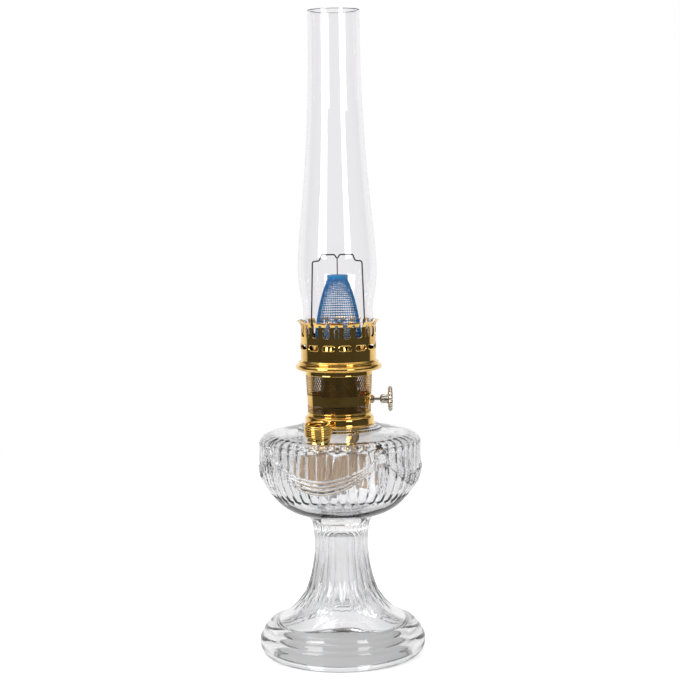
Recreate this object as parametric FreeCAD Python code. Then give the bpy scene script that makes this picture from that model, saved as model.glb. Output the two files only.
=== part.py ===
import FreeCAD, Part
import math
import os

# Glass oil lamp with a round wick burner, a knitted mantle and a tall plain chimney.
# Millimetres, +Z up. The origin is the centre of the ring that the foot rests on.
# The wick knob points along +X, and the filler stands in front, on the -Y side.

# Shared small sizes
overrun = 1.0                    # how far a cutting shape runs past what it cuts
arc_error = 0.35                 # largest rise of an arc over the straight pieces that draw it
corner_pieces = 2                # straight pieces in each rounded corner of an opening
flute_sides = 4                  # straight pieces across one flute of the stem
font_flute_sides = 2
wire_sides = 8
shell_sides = 36                 # flat sides of thin shells and of hollows in the glass
small_sides = 24                 # flat sides of small round pieces
flat_error = 1e-6                # largest rise of a corner over a face that counts as flat
joint_gap = 0.3                  # gap between pieces that move past each other
running_gap = 0.05               # radial clearance of a turning or sliding fit

# Pressed glass foot
foot_radius = 80.4               # widest ring of the base
foot_rest_radius = 73.0          # outer edge of the flat ring that it stands on
foot_rest_width = 7.0
foot_edge_low = 10.5             # height where the base ring reaches its full radius
foot_edge_high = 15.0
foot_groove_heights = (21.2, 27.6, 33.0)
foot_groove_radii = (77.7, 73.6, 67.0)
flare_tall = 33.8                # from the last groove to where the dome turns into the stem
flare_radius = 33.2
waist_tall = 35.8                # from there to the slimmest place of the stem
waist_radius = 26.3
stem_shoulder_tall = 28.2
stem_shoulder_radius = 28.3
stem_top_tall = 6.7
stem_top_radius = 34.0
foot_wall = 7.6
stem_hollow_radius = 18.3
stem_hollow_tall = 15.4          # from the waist up to the rounded end of the hollow
stem_hollow_rise = 5.5           # height of that rounded end
dome_bow_share = 0.098
stem_bow_share = 0.036
ridge_bow_share = 0.12
stem_flute_count = 24
stem_flute_depth = 0.9
stem_flute_run = 52.0            # height where the flutes have run out of the dome

# Pressed glass font
font_base_radius = 35.0
font_belly_tall = 19.5           # from the font's base to the lower ring, where the flutes end
font_belly_inset = 12.3          # from the full radius in to the lower ring
font_side_tall = 33.0            # from that ring to where the side turns upright
font_radius = 78.3
font_rim_tall = 18.5
font_shoulder_tall = 6.1
font_shoulder_inset = 5.1
font_step_tall = 1.6
font_step_inset = 8.3
font_crown_tall = 5.0
neck_foot_radius = 41.0
neck_foot_tall = 2.0
neck_radius = 36.5
neck_tall = 2.1
font_glass = 5.4
font_floor_rise = 8.0            # from the font's base to the floor of the reservoir
mouth_radius = 29.0
belly_bow_share = 0.1
side_bow_share = 0.105
shoulder_bow_share = 0.16
crown_bow_share = 0.03
font_flute_count = 48
font_flute_depth = 0.75
font_flute_run = 5.0             # height over which a flute fades in at each end
font_flute_phase = -1.9

# Brass collar of the font
collar_wall = 0.9
collar_depth = 9.0
collar_flange_radius = 32.2
collar_flange = 0.8

# Filler boss, neck, gasket and cap
filler_inset = 27.338            # from the font's full radius in to the filler's middle
filler_turn = -22.741            # angle of the filler right of the front
filler_tilt = 8.0                # outward lean of the filler
filler_seat_rise = 2.2           # from the step to the boss's foot
filler_boss_radius = 12.4
filler_boss_height = 2.6
filler_neck_radius = 11.2
filler_neck_wall = 1.0
filler_neck_height = 8.4
filler_neck_depth = 7.0
filler_glass_gap = 0.1
filler_flange_radius = 12.0
filler_flange = 0.7
cap_radius = 13.4
cap_wall = 0.6
cap_height = 10.6
cap_recess_radius = 9.0
cap_recess = 1.3
cap_bead_count = 4
thread_bow_share = 0.22
gasket_height = 1.3

# Burner base, deck and perforated basket
sheet = 0.6                      # thickness of the brass sheet
base_lip_radius = 34.45
base_lip_height = 1.0
base_wall_radius = 33.2
base_wall_tall = 5.7
base_shoulder_radius = 30.9
base_shoulder_tall = 3.7
base_step_tall = 1.7
sleeve_depth = 16.0
sleeve_wall = 0.7
basket_bottom_radius = 30.3
basket_top_radius = 32.0
basket_tall = 37.5
rim_radius = 32.25
rim_tall = 7.1
rim_wall = 1.1
basket_bead_rise = 0.8
basket_bead = 0.55

# Wick tubes and air ducts
outer_tube_radius = 17.6
outer_tube_wall = 0.5
outer_tube_rise = 60.6           # the tube's top over the burner's deck, and its foot below it
outer_tube_drop = 18.4
inner_tube_radius = 13.7
inner_tube_wall = 0.5
inner_tube_proud = 1.0           # over the outer tube's top
inner_tube_drop = 12.4
inner_floor_rise = 1.8
duct_width = 13.0
duct_height = 11.0
duct_rise = 2.0                  # from the inner tube's floor to the ducts
duct_wall = 0.5

# Wick, tails and carrier
wick_outer_radius = 16.4
wick_inner_radius = 14.0
wick_proud = 2.2                 # over the inner tube's top
wick_rise = 3.0                  # travel of the wick from rest
wick_drop = 10.0
wick_split_gap = 0.8             # left over the ducts when the wick is lowest
wick_tail_half_angle = 52.0
tail_top_gap = 1.0               # left under the outer tube when the wick is highest
tail_lift = 6.0                  # from the font's lower ring to the foot of the tails
tail_width = 34.0                # at the top; the cloth spreads as it hangs
tail_spread = 13.0
tail_thickness = 2.2
tail_fold = 1.6
tail_folds = 3
tail_pieces = 12
tail_levels = 6
tail_turn = 90.0                 # how far each tail turns towards the front on its way down
tail_start = 12.8                # from the lamp's axis to each tail's top
tail_right_x = 11.0              # where the foot of the right and of the left tail hangs
tail_right_y = -19.0
tail_left_x = -22.0
tail_left_y = -6.0
carrier_wall = 0.35
carrier_height = 5.0
rack_rise = 4.0                  # the rack's foot over the deck
rack_thickness = 1.8
rack_back = 2.4                  # metal behind the teeth

# Wick raiser on the +X side
raiser_rise = 12.3               # the spindle's axis over the deck
pinion_teeth = 10
pinion_module = 0.8
tooth_height_share = 0.85
tooth_depth_share = 1.1
tooth_top_share = 0.14
tooth_root_share = 0.32
rack_tooth_top_share = 0.12
rack_tooth_root_share = 0.28
pinion_x = 18.6
pinion_width = 2.0
spindle_radius = 1.3
spindle_start = 18.1
spindle_tube_radius = 2.5
spindle_tube_start = 22.0
nut_seat = 0.62                  # from the basket's foot radius to the nut's pocket
nut_saddle = 0.6                 # how far the nut's face reaches round the basket's wall
nut_radius = 4.05
nut_width = 2.1
nut_hub_radius = 2.9
nut_hub_width = 1.0
packing_radius = 2.2
packing_width = 1.4
hub_start = 39.2
hub_length = 8.2
hub_nose_radius = 2.4
hub_radius = 4.3
hub_flange_radius = 4.9
hub_flange = 0.9
wheel_radius = 11.6
wheel_rim = 2.2
wheel_width = 3.6
wheel_web = 1.1
wheel_dish = 1.4
wheel_lobes = 12
wheel_lobe_radius = 1.5
wheel_holes = 4
wheel_hole_radius = 1.7

# Flame spreader
spreader_dome_tall = 5.5
spreader_side_tall = 17.7
spreader_radius = 13.6
spreader_wall = 0.5
spreader_sleeve_tall = 14.3

# Gallery: band, crown, flange and mantle seat
band_radius = 36.2
band_rise = 7.0                  # from the basket rim's top to the foot of the band
crown_radius = 39.4
prong_count = 14
prong_phase = -2.4               # angle of one tongue prong right of the front
prong_stem = 4.6
prong_tip = 11.4
prong_tip_tall = 4.4
panel_width = 13.2
window_rise = 9.0                # from the middle of the slots up to the windows
window_rounding_share = 0.7
window_tall = 8.1                # from the windows' foot to the bend of the crown
crown_flare = 7.1                # from that bend to the top of the prongs
tongue_width = 2.8
tongue_slot = 1.2
tongue_inset = 0.8               # from a window's foot or a tip's foot to the tongue's slots
slot_rise = 13.4                 # from the foot of the band to the middle of its slots
slot_length = 12.0
slot_width = 4.8
seat_tab_reach = 3.4
seat_tab_width = 8.0
flange_drop = 2.0                # how far the flange reaches down round the basket's rim
bead_low_foot = 39.6             # radius where the lower bead starts
bead_low_tall = 5.0
bead_low_proud = 2.45
bead_high_foot = 37.4
bead_high_rise = 5.1
bead_high_tall = 3.4
bead_high_proud = 2.1
seat_foot_radius = 30.2
seat_rim_radius = 24.2
seat_tall = 24.7                 # from the seat's floor to the foot of its rim
seat_rim = 3.0

# Mantle, its ring, clips and wire frame
ring_tall = 4.6
ring_wall = 0.8
ring_lip = 0.6
mantle_skirt_rise = 1.7          # from the ring's top to where the cloth starts to taper
mantle_low_tall = 33.9
mantle_mid_radius = 16.4
mantle_high_tall = 20.2
mantle_neck_radius = 9.3
mantle_collar_tall = 4.1
mantle_top_radius = 10.0
mantle_cloth = 0.8
mantle_tuck = 3.8                # how far the cloth goes down inside its ring
mantle_bow_share = 0.018
wire_radius = 0.58
frame_foot_rise = 6.7            # from the ring's top to the ends of the wire
frame_foot_reach = 25.8
frame_side_tall = 65.6
frame_shoulder_reach = 23.8
frame_step_tall = 1.2
frame_step_reach = 17.4
frame_crest_tall = 5.8
frame_top_reach = 15.4
frame_dip_reach = 2.4
frame_dip = 3.4
wire_bend = 2.4
wire_bend_share = 0.42           # largest share of a straight run that a bend takes
clip_width = 3.6
clip_thickness = 1.4
clip_rise = 10.0                 # from the ends of the wire to the clips' top
hanger_reach = 2.6               # how far the hanger goes down into the cloth
hanger_radius = 0.5
hanger_foot_radius = 1.3

# Chimney
chimney_base_radius = 33.35
chimney_wall = 1.7
chimney_base_tall = 26.3
chimney_waist_tall = 15.5
chimney_waist_radius = 34.5
chimney_bulge_tall = 28.0
chimney_bulge_radius = 37.9
chimney_shoulder_tall = 47.1
chimney_flare_radius = 34.4
chimney_taper_tall = 150.4
chimney_tube_radius = 24.9
chimney_top_tall = 48.5
chimney_top_radius = 24.7
chimney_waist_bow_share = 0.035
chimney_bulge_bow_share = -0.03
chimney_shoulder_bow_share = -0.013
chimney_flare_bow_share = 0.0113

# Places that follow from the sizes above
flare_height = foot_groove_heights[-1] + flare_tall
waist_height = flare_height + waist_tall
stem_shoulder_height = waist_height + stem_shoulder_tall
stem_top_height = stem_shoulder_height + stem_top_tall
stem_hollow_height = waist_height + stem_hollow_tall
font_base_height = stem_top_height
font_floor_height = font_base_height + font_floor_rise
font_belly_height = font_base_height + font_belly_tall
font_wall_height = font_belly_height + font_side_tall
font_rim_height = font_wall_height + font_rim_tall
font_shoulder_height = font_rim_height + font_shoulder_tall
font_step_height = font_shoulder_height + font_step_tall
neck_foot_height = font_step_height + font_crown_tall
neck_step_height = neck_foot_height + neck_foot_tall
neck_top_height = neck_step_height + neck_tall
font_belly_radius = font_radius - font_belly_inset
font_shoulder_radius = font_radius - font_shoulder_inset
font_step_radius = font_radius - font_step_inset
filler_seat_height = font_step_height + filler_seat_rise
filler_x = (font_radius - filler_inset) * math.sin(math.radians(filler_turn))
filler_y = -(font_radius - filler_inset) * math.cos(math.radians(filler_turn))
base_wall_height = neck_top_height + base_wall_tall
base_shoulder_height = base_wall_height + base_shoulder_tall
base_top_height = base_shoulder_height + base_step_tall
basket_bead_height = base_top_height + basket_bead_rise
basket_top_height = base_top_height + basket_tall
rim_top_height = basket_top_height + rim_tall
outer_tube_top = base_top_height + outer_tube_rise
outer_tube_bottom = base_top_height - outer_tube_drop
inner_tube_top = outer_tube_top + inner_tube_proud
inner_tube_bottom = base_top_height - inner_tube_drop
inner_floor_height = base_top_height + inner_floor_rise
duct_low = inner_floor_height + duct_rise
wick_top = inner_tube_top + wick_proud
wick_split_height = duct_low + duct_height + wick_drop + wick_split_gap
tail_top_height = outer_tube_bottom - wick_rise - tail_top_gap
tail_bottom_height = font_belly_height + tail_lift
carrier_low = wick_split_height
rack_low = base_top_height + rack_rise
rack_high = carrier_low + carrier_height
raiser_height = base_top_height + raiser_rise
spreader_seat = inner_tube_top + joint_gap
spreader_shoulder = spreader_seat + spreader_side_tall
spreader_top = spreader_shoulder + spreader_dome_tall
spreader_sleeve_low = spreader_seat - spreader_sleeve_tall
band_low = rim_top_height + band_rise
flange_low = rim_top_height - flange_drop
bead_high_low = flange_low + bead_high_rise
seat_floor_height = rim_top_height + joint_gap
seat_rim_height = seat_floor_height + seat_tall
ring_radius = seat_rim_radius - sheet - joint_gap
ring_top = seat_rim_height + seat_rim + joint_gap
slot_height = band_low + slot_rise
window_low = slot_height + window_rise
crown_bend_height = window_low + window_tall
crown_high = crown_bend_height + crown_flare
prong_tip_low = crown_high - prong_tip_tall
mantle_skirt_height = ring_top + mantle_skirt_rise
mantle_mid_height = mantle_skirt_height + mantle_low_tall
mantle_neck_height = mantle_mid_height + mantle_high_tall
mantle_top = mantle_neck_height + mantle_collar_tall
frame_foot_height = ring_top + frame_foot_rise
frame_shoulder_height = frame_foot_height + frame_side_tall
frame_step_height = frame_shoulder_height + frame_step_tall
frame_top_height = frame_step_height + frame_crest_tall
chimney_low = slot_height + slot_width / 2 + sheet + joint_gap
chimney_neck_height = chimney_low + chimney_base_tall
chimney_waist_height = chimney_neck_height + chimney_waist_tall
chimney_bulge_height = chimney_waist_height + chimney_bulge_tall
chimney_flare_height = chimney_bulge_height + chimney_shoulder_tall
chimney_tube_height = chimney_flare_height + chimney_taper_tall
chimney_high = chimney_tube_height + chimney_top_tall

ORIGIN = FreeCAD.Vector(0, 0, 0)
UP = FreeCAD.Vector(0, 0, 1)
RIGHT = FreeCAD.Vector(1, 0, 0)
FRONT = -90.0                    # angle of the -Y side, as seen from above
TURN = 360.0
HALF = 0.5


def at(r, z):
    """A point of an outline, r from the lamp's axis and z up."""
    return FreeCAD.Vector(r, 0, z)


def around(r, angle, z):
    """A point at an angle in degrees right of the front."""
    turned = math.radians(FRONT + angle)
    return FreeCAD.Vector(r * math.cos(turned), r * math.sin(turned), z)


def arc_points(start, end, bow_share):
    """Points after start along an arc whose rise is a share of its chord, left of its way."""
    chord = end - start
    side = FreeCAD.Vector(-chord.z, 0, chord.x)
    middle = (start + end) * HALF
    count = max(2, math.ceil(math.sqrt(abs(bow_share) * chord.Length / arc_error)))
    half_turn = 2 * math.atan(2 * bow_share)
    points = []
    for i in range(1, count):
        turn = (2 * i / count - 1) * half_turn
        along = math.sin(turn) / math.sin(half_turn) * HALF
        rise = (math.cos(turn) - math.cos(half_turn)) / math.sin(half_turn) * HALF
        points.append(middle + chord * along + side * rise)
    return points + [end]


def dome_share(reach, rise):
    """Bow share of an arc from the top of a round dome down to its edge."""
    return math.tan(math.atan2(rise, reach) * HALF) * HALF


def outline(*steps):
    """Points of an outline, with the bow share of an arc between two of its steps."""
    points = [steps[0]]
    bow_share = 0
    for step in steps[1:]:
        if isinstance(step, (int, float)):
            bow_share = step
            continue
        points += arc_points(points[-1], step, bow_share) if bow_share else [step]
        bow_share = 0
    return points


def spun(points):
    """The closed outline turned about the lamp's axis."""
    return Part.Face(Part.makePolygon(points)).revolve(ORIGIN, UP, TURN)


def panel(a, b, c, d):
    """Flat faces between four corners: one where they lie in a plane, otherwise two."""
    corners = unrepeated([a, b, c, d])
    if len(corners) < 3:
        return []
    if len(corners) == 3 or abs((b - a).cross(d - a).dot(c - a)) < flat_error:
        return [Part.Face(Part.makePolygon(corners + corners[:1]))]
    return [Part.Face(Part.makePolygon([a, b, c, a])), Part.Face(Part.makePolygon([a, c, d, a]))]


def skinned(rings):
    """A solid of flat faces through rings of points, with flat ends."""
    faces = [Part.Face(Part.makePolygon(ring + ring[:1])) for ring in (rings[0], rings[-1])]
    for low, high in zip(rings, rings[1:]):
        for i in range(len(low)):
            faces += panel(low[i - 1], low[i], high[i], high[i - 1])
    return Part.makeSolid(Part.makeShell(faces))


def fluted(points, count, sides, depth_at, phase):
    """Rings of flutes through the points of an outline, skinned into one solid."""
    rings = []
    for point in points:
        ring = []
        for i in range(count * sides):
            hollow = depth_at(point.z) * (1 - math.cos(math.radians(TURN * i / sides))) * HALF
            ring.append(around(point.x - hollow, phase + TURN * i / (count * sides), point.z))
        rings.append(ring)
    return skinned(rings)


def turned(*steps):
    """A solid of revolution from the steps of its closed outline."""
    return spun(outline(*steps, steps[0]))


def unrepeated(points):
    """The points of a closed outline without those that repeat the one before."""
    kept = []
    for point in points:
        if not kept or (point - kept[-1]).Length > running_gap:
            kept.append(point)
    if (kept[0] - kept[-1]).Length < running_gap:
        kept.pop()
    return kept


def faceted(*steps, sides=shell_sides):
    """Like turned, with flat sides: for shells, tubes and the hollows in glass."""
    points = outline(*steps, steps[0])
    pitch = TURN / sides
    faces = []
    for start, end in zip(points, points[1:]):
        for i in range(sides):
            near = i * pitch
            far = near + pitch
            faces += panel(around(start.x, near, start.z), around(start.x, far, start.z),
                           around(end.x, far, end.z), around(end.x, near, end.z))
    return Part.makeSolid(Part.makeShell(faces))


def tube(outer, inner, low, high):
    """A plain tube on the lamp's axis."""
    return faceted(at(inner, low), at(outer, low), at(outer, high), at(inner, high))


def rod(radius, start_x, length, y=0.0, z=raiser_height):
    """A round bar along +X at the height of the wick raiser."""
    return Part.makeCylinder(radius, length, FreeCAD.Vector(start_x, y, z), RIGHT)


def block(low, high):
    """A box between two corners."""
    size = high - low
    return Part.makeBox(size.x, size.y, size.z, low)


def turn_copies(shape, count, phase=0.0):
    """Copies of a shape evenly round the lamp's axis."""
    copies = []
    for i in range(count):
        copy = shape.copy()
        copy.rotate(ORIGIN, UP, phase + i * TURN / count)
        copies.append(copy)
    return copies


def radial(shape, angle):
    """A shape that was made along +X, turned to an angle right of the front."""
    shape.rotate(ORIGIN, UP, FRONT + angle)
    return shape


def save(name, shape):
    """Writes one node."""
    solids = shape.Solids
    whole = solids[0] if len(solids) == 1 else Part.makeCompound(solids)
    whole.exportStep("parts/" + name + ".step")
    print(name, len(solids), round(whole.Volume, 1), whole.isValid())


def foot():
    """Pressed glass foot: ridged base, dome, fluted stem and the hollow below."""
    outside = [at(foot_rest_radius, 0), -ridge_bow_share,
               at(foot_radius, foot_edge_low),
               at(foot_radius, foot_edge_high)]
    for r, z in zip(foot_groove_radii, foot_groove_heights):
        outside += [-ridge_bow_share, at(r, z)]
    outside += [dome_bow_share, at(flare_radius, flare_height),
                stem_bow_share, at(waist_radius, waist_height),
                stem_bow_share, at(stem_shoulder_radius, stem_shoulder_height),
                at(stem_top_radius, stem_top_height)]

    def depth_at(z):
        low = (z - foot_groove_heights[-1]) / (stem_flute_run - foot_groove_heights[-1])
        high = (stem_top_height - z) / (stem_top_height - stem_shoulder_height)
        return stem_flute_depth * max(0, min(1, low, high))

    solid = fluted(outline(*outside), stem_flute_count, flute_sides, depth_at, 0)
    inner_rest = foot_rest_radius - foot_rest_width
    inner_knee_radius = foot_groove_radii[-1] - foot_wall
    inner_knee_height = foot_groove_heights[-1] - foot_wall * HALF
    hollow = faceted(at(0, stem_hollow_height + stem_hollow_rise),
                     dome_share(stem_hollow_radius, stem_hollow_rise),
                     at(stem_hollow_radius, stem_hollow_height),
                     at(stem_hollow_radius, waist_height),
                     -stem_bow_share, at(flare_radius - foot_wall, flare_height - foot_wall * HALF),
                     -dome_bow_share, at(inner_knee_radius, inner_knee_height),
                     at(inner_rest, foot_edge_low * HALF), at(inner_rest, -overrun), at(0, -overrun))
    save("glass_foot", solid.cut(hollow))


def filler_place(shape):
    """Moves a filler piece, made upright on the lamp's axis, onto the boss."""
    lean = FreeCAD.Vector(-filler_y, filler_x, 0)
    shape.rotate(ORIGIN, lean, filler_tilt)
    shape.translate(FreeCAD.Vector(filler_x, filler_y, filler_seat_height))
    return shape


def font():
    """Pressed glass font: fluted side, crowned top, neck, filler boss and reservoir."""
    outside = outline(
        at(font_base_radius, font_base_height),
        -belly_bow_share, at(font_belly_radius, font_belly_height),
        -side_bow_share, at(font_radius, font_wall_height),
        at(font_radius, font_rim_height),
        -shoulder_bow_share, at(font_shoulder_radius, font_shoulder_height),
        at(font_step_radius, font_step_height),
        -crown_bow_share, at(neck_foot_radius, neck_foot_height))

    def depth_at(z):
        low = (z - font_belly_height) / font_flute_run
        high = (font_shoulder_height - z) / font_flute_run
        return font_flute_depth * max(0, min(1, low, high))

    solid = fluted(outside, font_flute_count, font_flute_sides, depth_at, font_flute_phase)
    neck = turned(at(0, neck_foot_height), at(neck_foot_radius, neck_foot_height),
                  at(neck_foot_radius, neck_step_height),
                  at(neck_radius, neck_step_height), at(neck_radius, neck_top_height),
                  at(0, neck_top_height))
    boss = Part.makeCylinder(filler_boss_radius, filler_boss_height + font_glass * HALF,
                             FreeCAD.Vector(0, 0, -font_glass * HALF))
    room = Part.makeCylinder(filler_boss_radius, neck_top_height - filler_seat_height,
                             UP * filler_boss_height)
    solid = solid.fuse([neck, filler_place(boss)])
    inner_radius = font_radius - font_glass
    ceiling = font_shoulder_height - font_glass
    hollow = faceted(
        at(0, neck_top_height + overrun), at(mouth_radius, neck_top_height + overrun),
        at(mouth_radius, neck_foot_height - font_glass),
        at(font_shoulder_radius - font_glass * HALF, ceiling),
        shoulder_bow_share, at(inner_radius, font_rim_height - font_glass),
        at(inner_radius, font_wall_height),
        side_bow_share, at(font_belly_radius - font_glass, font_belly_height + font_glass * HALF),
        belly_bow_share, at(0, font_floor_height))
    bore = Part.makeCylinder(filler_neck_radius + filler_glass_gap,
                             filler_boss_height + 3 * font_glass,
                             FreeCAD.Vector(0, 0, -2 * font_glass))
    save("glass_font", solid.cut([hollow, filler_place(room), filler_place(bore)]))


def font_fittings():
    """Brass collar in the mouth, and the filler's neck, gasket and cap."""
    flange_top = neck_top_height + collar_flange
    inner = mouth_radius - collar_wall
    save("font_collar", faceted(
        at(inner, neck_top_height - collar_depth), at(mouth_radius, neck_top_height - collar_depth),
        at(mouth_radius, neck_top_height), at(collar_flange_radius, neck_top_height),
        at(collar_flange_radius, flange_top), at(inner, flange_top)))

    bore = filler_neck_radius - filler_neck_wall
    boss_top = filler_boss_height
    neck_top = boss_top + filler_neck_height
    save("filler_neck", filler_place(faceted(
        at(bore, boss_top - filler_neck_depth), at(filler_neck_radius, boss_top - filler_neck_depth),
        at(filler_neck_radius, boss_top), at(filler_flange_radius, boss_top),
        at(filler_flange_radius, boss_top + filler_flange),
        at(filler_neck_radius, boss_top + filler_flange),
        at(filler_neck_radius, neck_top), at(bore, neck_top))))

    gasket_top = neck_top + gasket_height
    save("filler_gasket", filler_place(turned(
        at(bore, neck_top), at(filler_neck_radius, neck_top),
        at(filler_neck_radius, gasket_top), at(bore, gasket_top))))

    skirt_low = boss_top + filler_flange + joint_gap
    cap_top = skirt_low + cap_height
    lid_low = gasket_top + running_gap
    groove = cap_wall * HALF
    skirt_inner = filler_neck_radius + joint_gap + running_gap
    bead = (cap_top - cap_wall - skirt_low) / cap_bead_count
    skirt = [at(skirt_inner, skirt_low), at(cap_radius - groove, skirt_low)]
    for i in range(cap_bead_count):
        skirt += [-thread_bow_share, at(cap_radius - groove, skirt_low + (i + 1) * bead)]
    recess_low = cap_top - cap_recess
    save("filler_cap", filler_place(faceted(
        *skirt, at(cap_radius - cap_wall - groove, cap_top),
        at(cap_recess_radius + cap_wall, cap_top), at(cap_recess_radius, recess_low),
        at(0, recess_low), at(0, lid_low), at(skirt_inner, lid_low))))


def burner():
    """Skirt with its screw sleeve, deck, perforated basket and its rim."""
    lip_low = neck_top_height
    save("burner_base", faceted(
        at(base_lip_radius - 2 * sheet, lip_low), at(base_lip_radius, lip_low),
        at(base_lip_radius, lip_low + base_lip_height),
        at(base_wall_radius, lip_low + 2 * base_lip_height),
        at(base_wall_radius, base_wall_height),
        -dome_bow_share, at(base_shoulder_radius, base_shoulder_height),
        at(basket_bottom_radius, base_top_height),
        at(basket_bottom_radius - sheet, base_top_height),
        at(base_shoulder_radius - sheet, base_shoulder_height - sheet),
        dome_bow_share, at(base_wall_radius - sheet, base_wall_height - sheet),
        at(base_wall_radius - sheet, lip_low + base_lip_height)))
    sleeve_outer = mouth_radius - collar_wall - running_gap
    sleeve_inner = sleeve_outer - sleeve_wall
    deck_low = base_top_height - sheet
    save("burner_sleeve", tube(sleeve_outer, sleeve_inner,
                               neck_top_height - sleeve_depth * HALF, deck_low))
    deck_radius = basket_bottom_radius - sheet - 2 * running_gap
    deck = tube(deck_radius, outer_tube_radius, deck_low, base_top_height)
    passage = block(FreeCAD.Vector(0, -arm_reach() - 2 * joint_gap, deck_low),
                    FreeCAD.Vector(pinion_x + rack_thickness + 2 * joint_gap,
                                   2 * joint_gap - pinion_module * (pinion_teeth * HALF - 1),
                                   base_top_height))
    save("burner_deck", deck.cut(passage))

    lean = (basket_top_radius - basket_bottom_radius) / (basket_top_height - base_top_height)
    bead_radius = basket_bottom_radius + lean * (basket_bead_height - base_top_height)
    basket = faceted(
        at(basket_bottom_radius, base_top_height),
        at(bead_radius, basket_bead_height - basket_bead), -HALF,
        at(bead_radius, basket_bead_height + basket_bead),
        at(basket_top_radius, basket_top_height),
        at(basket_top_radius - sheet, basket_top_height),
        at(basket_bottom_radius - sheet, base_top_height))
    through = rod(spindle_tube_radius, 0, basket_top_radius)
    save("burner_basket", basket.cut(through))
    save("basket_rim", faceted(
        at(rim_radius - rim_wall, basket_top_height), at(rim_radius, basket_top_height),
        at(rim_radius, rim_top_height), at(rim_radius - rim_wall, rim_top_height)))


def duct_block(width, height, wall):
    """The space of one air duct, in front of the axis, with its wall drawn in."""
    return block(FreeCAD.Vector(-width * HALF + wall, -outer_tube_radius - overrun, duct_low + wall),
                 FreeCAD.Vector(width * HALF - wall, -overrun, duct_low + height - wall))


def wick_tubes():
    """Outer and inner wick tubes, joined by two air ducts, front and back."""
    outer = tube(outer_tube_radius, outer_tube_radius - outer_tube_wall,
                 outer_tube_bottom, outer_tube_top)
    inner_radius = inner_tube_radius - inner_tube_wall
    inner = faceted(
        at(inner_radius, inner_tube_bottom), at(inner_tube_radius, inner_tube_bottom),
        at(inner_tube_radius, inner_tube_top), at(inner_radius, inner_tube_top),
        at(inner_radius, inner_floor_height), at(0, inner_floor_height),
        at(0, inner_floor_height - sheet), at(inner_radius, inner_floor_height - sheet))
    ports = turn_copies(duct_block(duct_width, duct_height, 0), 2)
    arm = FreeCAD.Vector(0, -arm_reach(), 0)
    slot = block(arm + UP * (carrier_low - wick_drop - joint_gap),
                 arm + UP * (carrier_low + carrier_height + wick_rise + joint_gap)
                 + FreeCAD.Vector(outer_tube_radius, rack_back + 2 * joint_gap, 0))
    save("outer_wick_tube", outer.cut(ports).cut(slot))
    save("inner_wick_tube", inner.cut(ports))
    skin = tube(outer_tube_radius - outer_tube_wall, inner_tube_radius,
                duct_low, duct_low + duct_height)
    ducts = []
    for port, hole in zip(ports, turn_copies(duct_block(duct_width, duct_height, duct_wall), 2)):
        ducts += skin.common(port).cut(hole).Solids
    save("air_ducts", Part.makeCompound(ducts))


def arm_reach():
    """How far in front of the axis the back of the rack stands."""
    return pinion_module * pinion_teeth * HALF + pinion_module + rack_back + joint_gap


def wick():
    """Round wick, slit below into two sides that pass the air ducts."""
    top = tube(wick_outer_radius, wick_inner_radius, wick_split_height, wick_top)
    low = tube(wick_outer_radius, wick_inner_radius, tail_top_height, wick_split_height)
    span = wick_outer_radius * 2
    gap = span * math.cos(math.radians(wick_tail_half_angle))
    gate = block(FreeCAD.Vector(-span, -gap * HALF, tail_top_height),
                 FreeCAD.Vector(span, gap * HALF, wick_split_height))
    save("wick", top.fuse(low.common(gate)))


def tail_section(middle, heading, width):
    """One level of a wick tail: a folded strip of cloth, closed round its edges."""
    along = FreeCAD.Vector(math.cos(math.radians(heading)), math.sin(math.radians(heading)), 0)
    across = FreeCAD.Vector(-along.y, along.x, 0)
    points = []
    for face in (-1, 1):
        strip = []
        for i in range(tail_pieces + 1):
            place = 2 * i / tail_pieces - 1
            fold = tail_fold * math.cos(math.radians(place * TURN * tail_folds * HALF))
            strip.append(middle + along * (place * width * HALF)
                         + across * (fold + face * tail_thickness * HALF))
        if face > 0:
            strip.reverse()
        points += strip
    return points


def wick_tails():
    """Two cotton tails that hang from the wick's sides and turn their faces to the front."""
    tails = []
    for side, foot_x, foot_y in ((1, tail_right_x, tail_right_y), (-1, tail_left_x, tail_left_y)):
        levels = []
        for i in range(tail_levels):
            share = i / (tail_levels - 1)
            eased = math.sin(math.radians(share * TURN / 4))
            middle = FreeCAD.Vector(side * tail_start + (foot_x - side * tail_start) * eased,
                                    foot_y * eased,
                                    tail_top_height - (tail_top_height - tail_bottom_height) * share)
            heading = TURN / 4 - side * tail_turn * eased
            levels.append(tail_section(middle, heading, tail_width + tail_spread * share))
        tails.append(skinned(levels))
    save("wick_tails", Part.makeCompound(tails))


def toothed(count, pitch_radius, root, top, root_share, top_share):
    """Corners of a gear, each tooth a flat-topped wedge."""
    points = []
    for i in range(count):
        middle = TURN * i / count
        for r, share in ((root, -root_share), (top, -top_share), (top, top_share), (root, root_share)):
            turn = math.radians(middle + share * TURN / count)
            points.append(FreeCAD.Vector(0, r * math.cos(turn), r * math.sin(turn)))
    return points


def prism(points, along):
    """The closed polygon through the points, pushed along a vector."""
    return Part.Face(Part.makePolygon(points + points[:1])).extrude(along)


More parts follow.
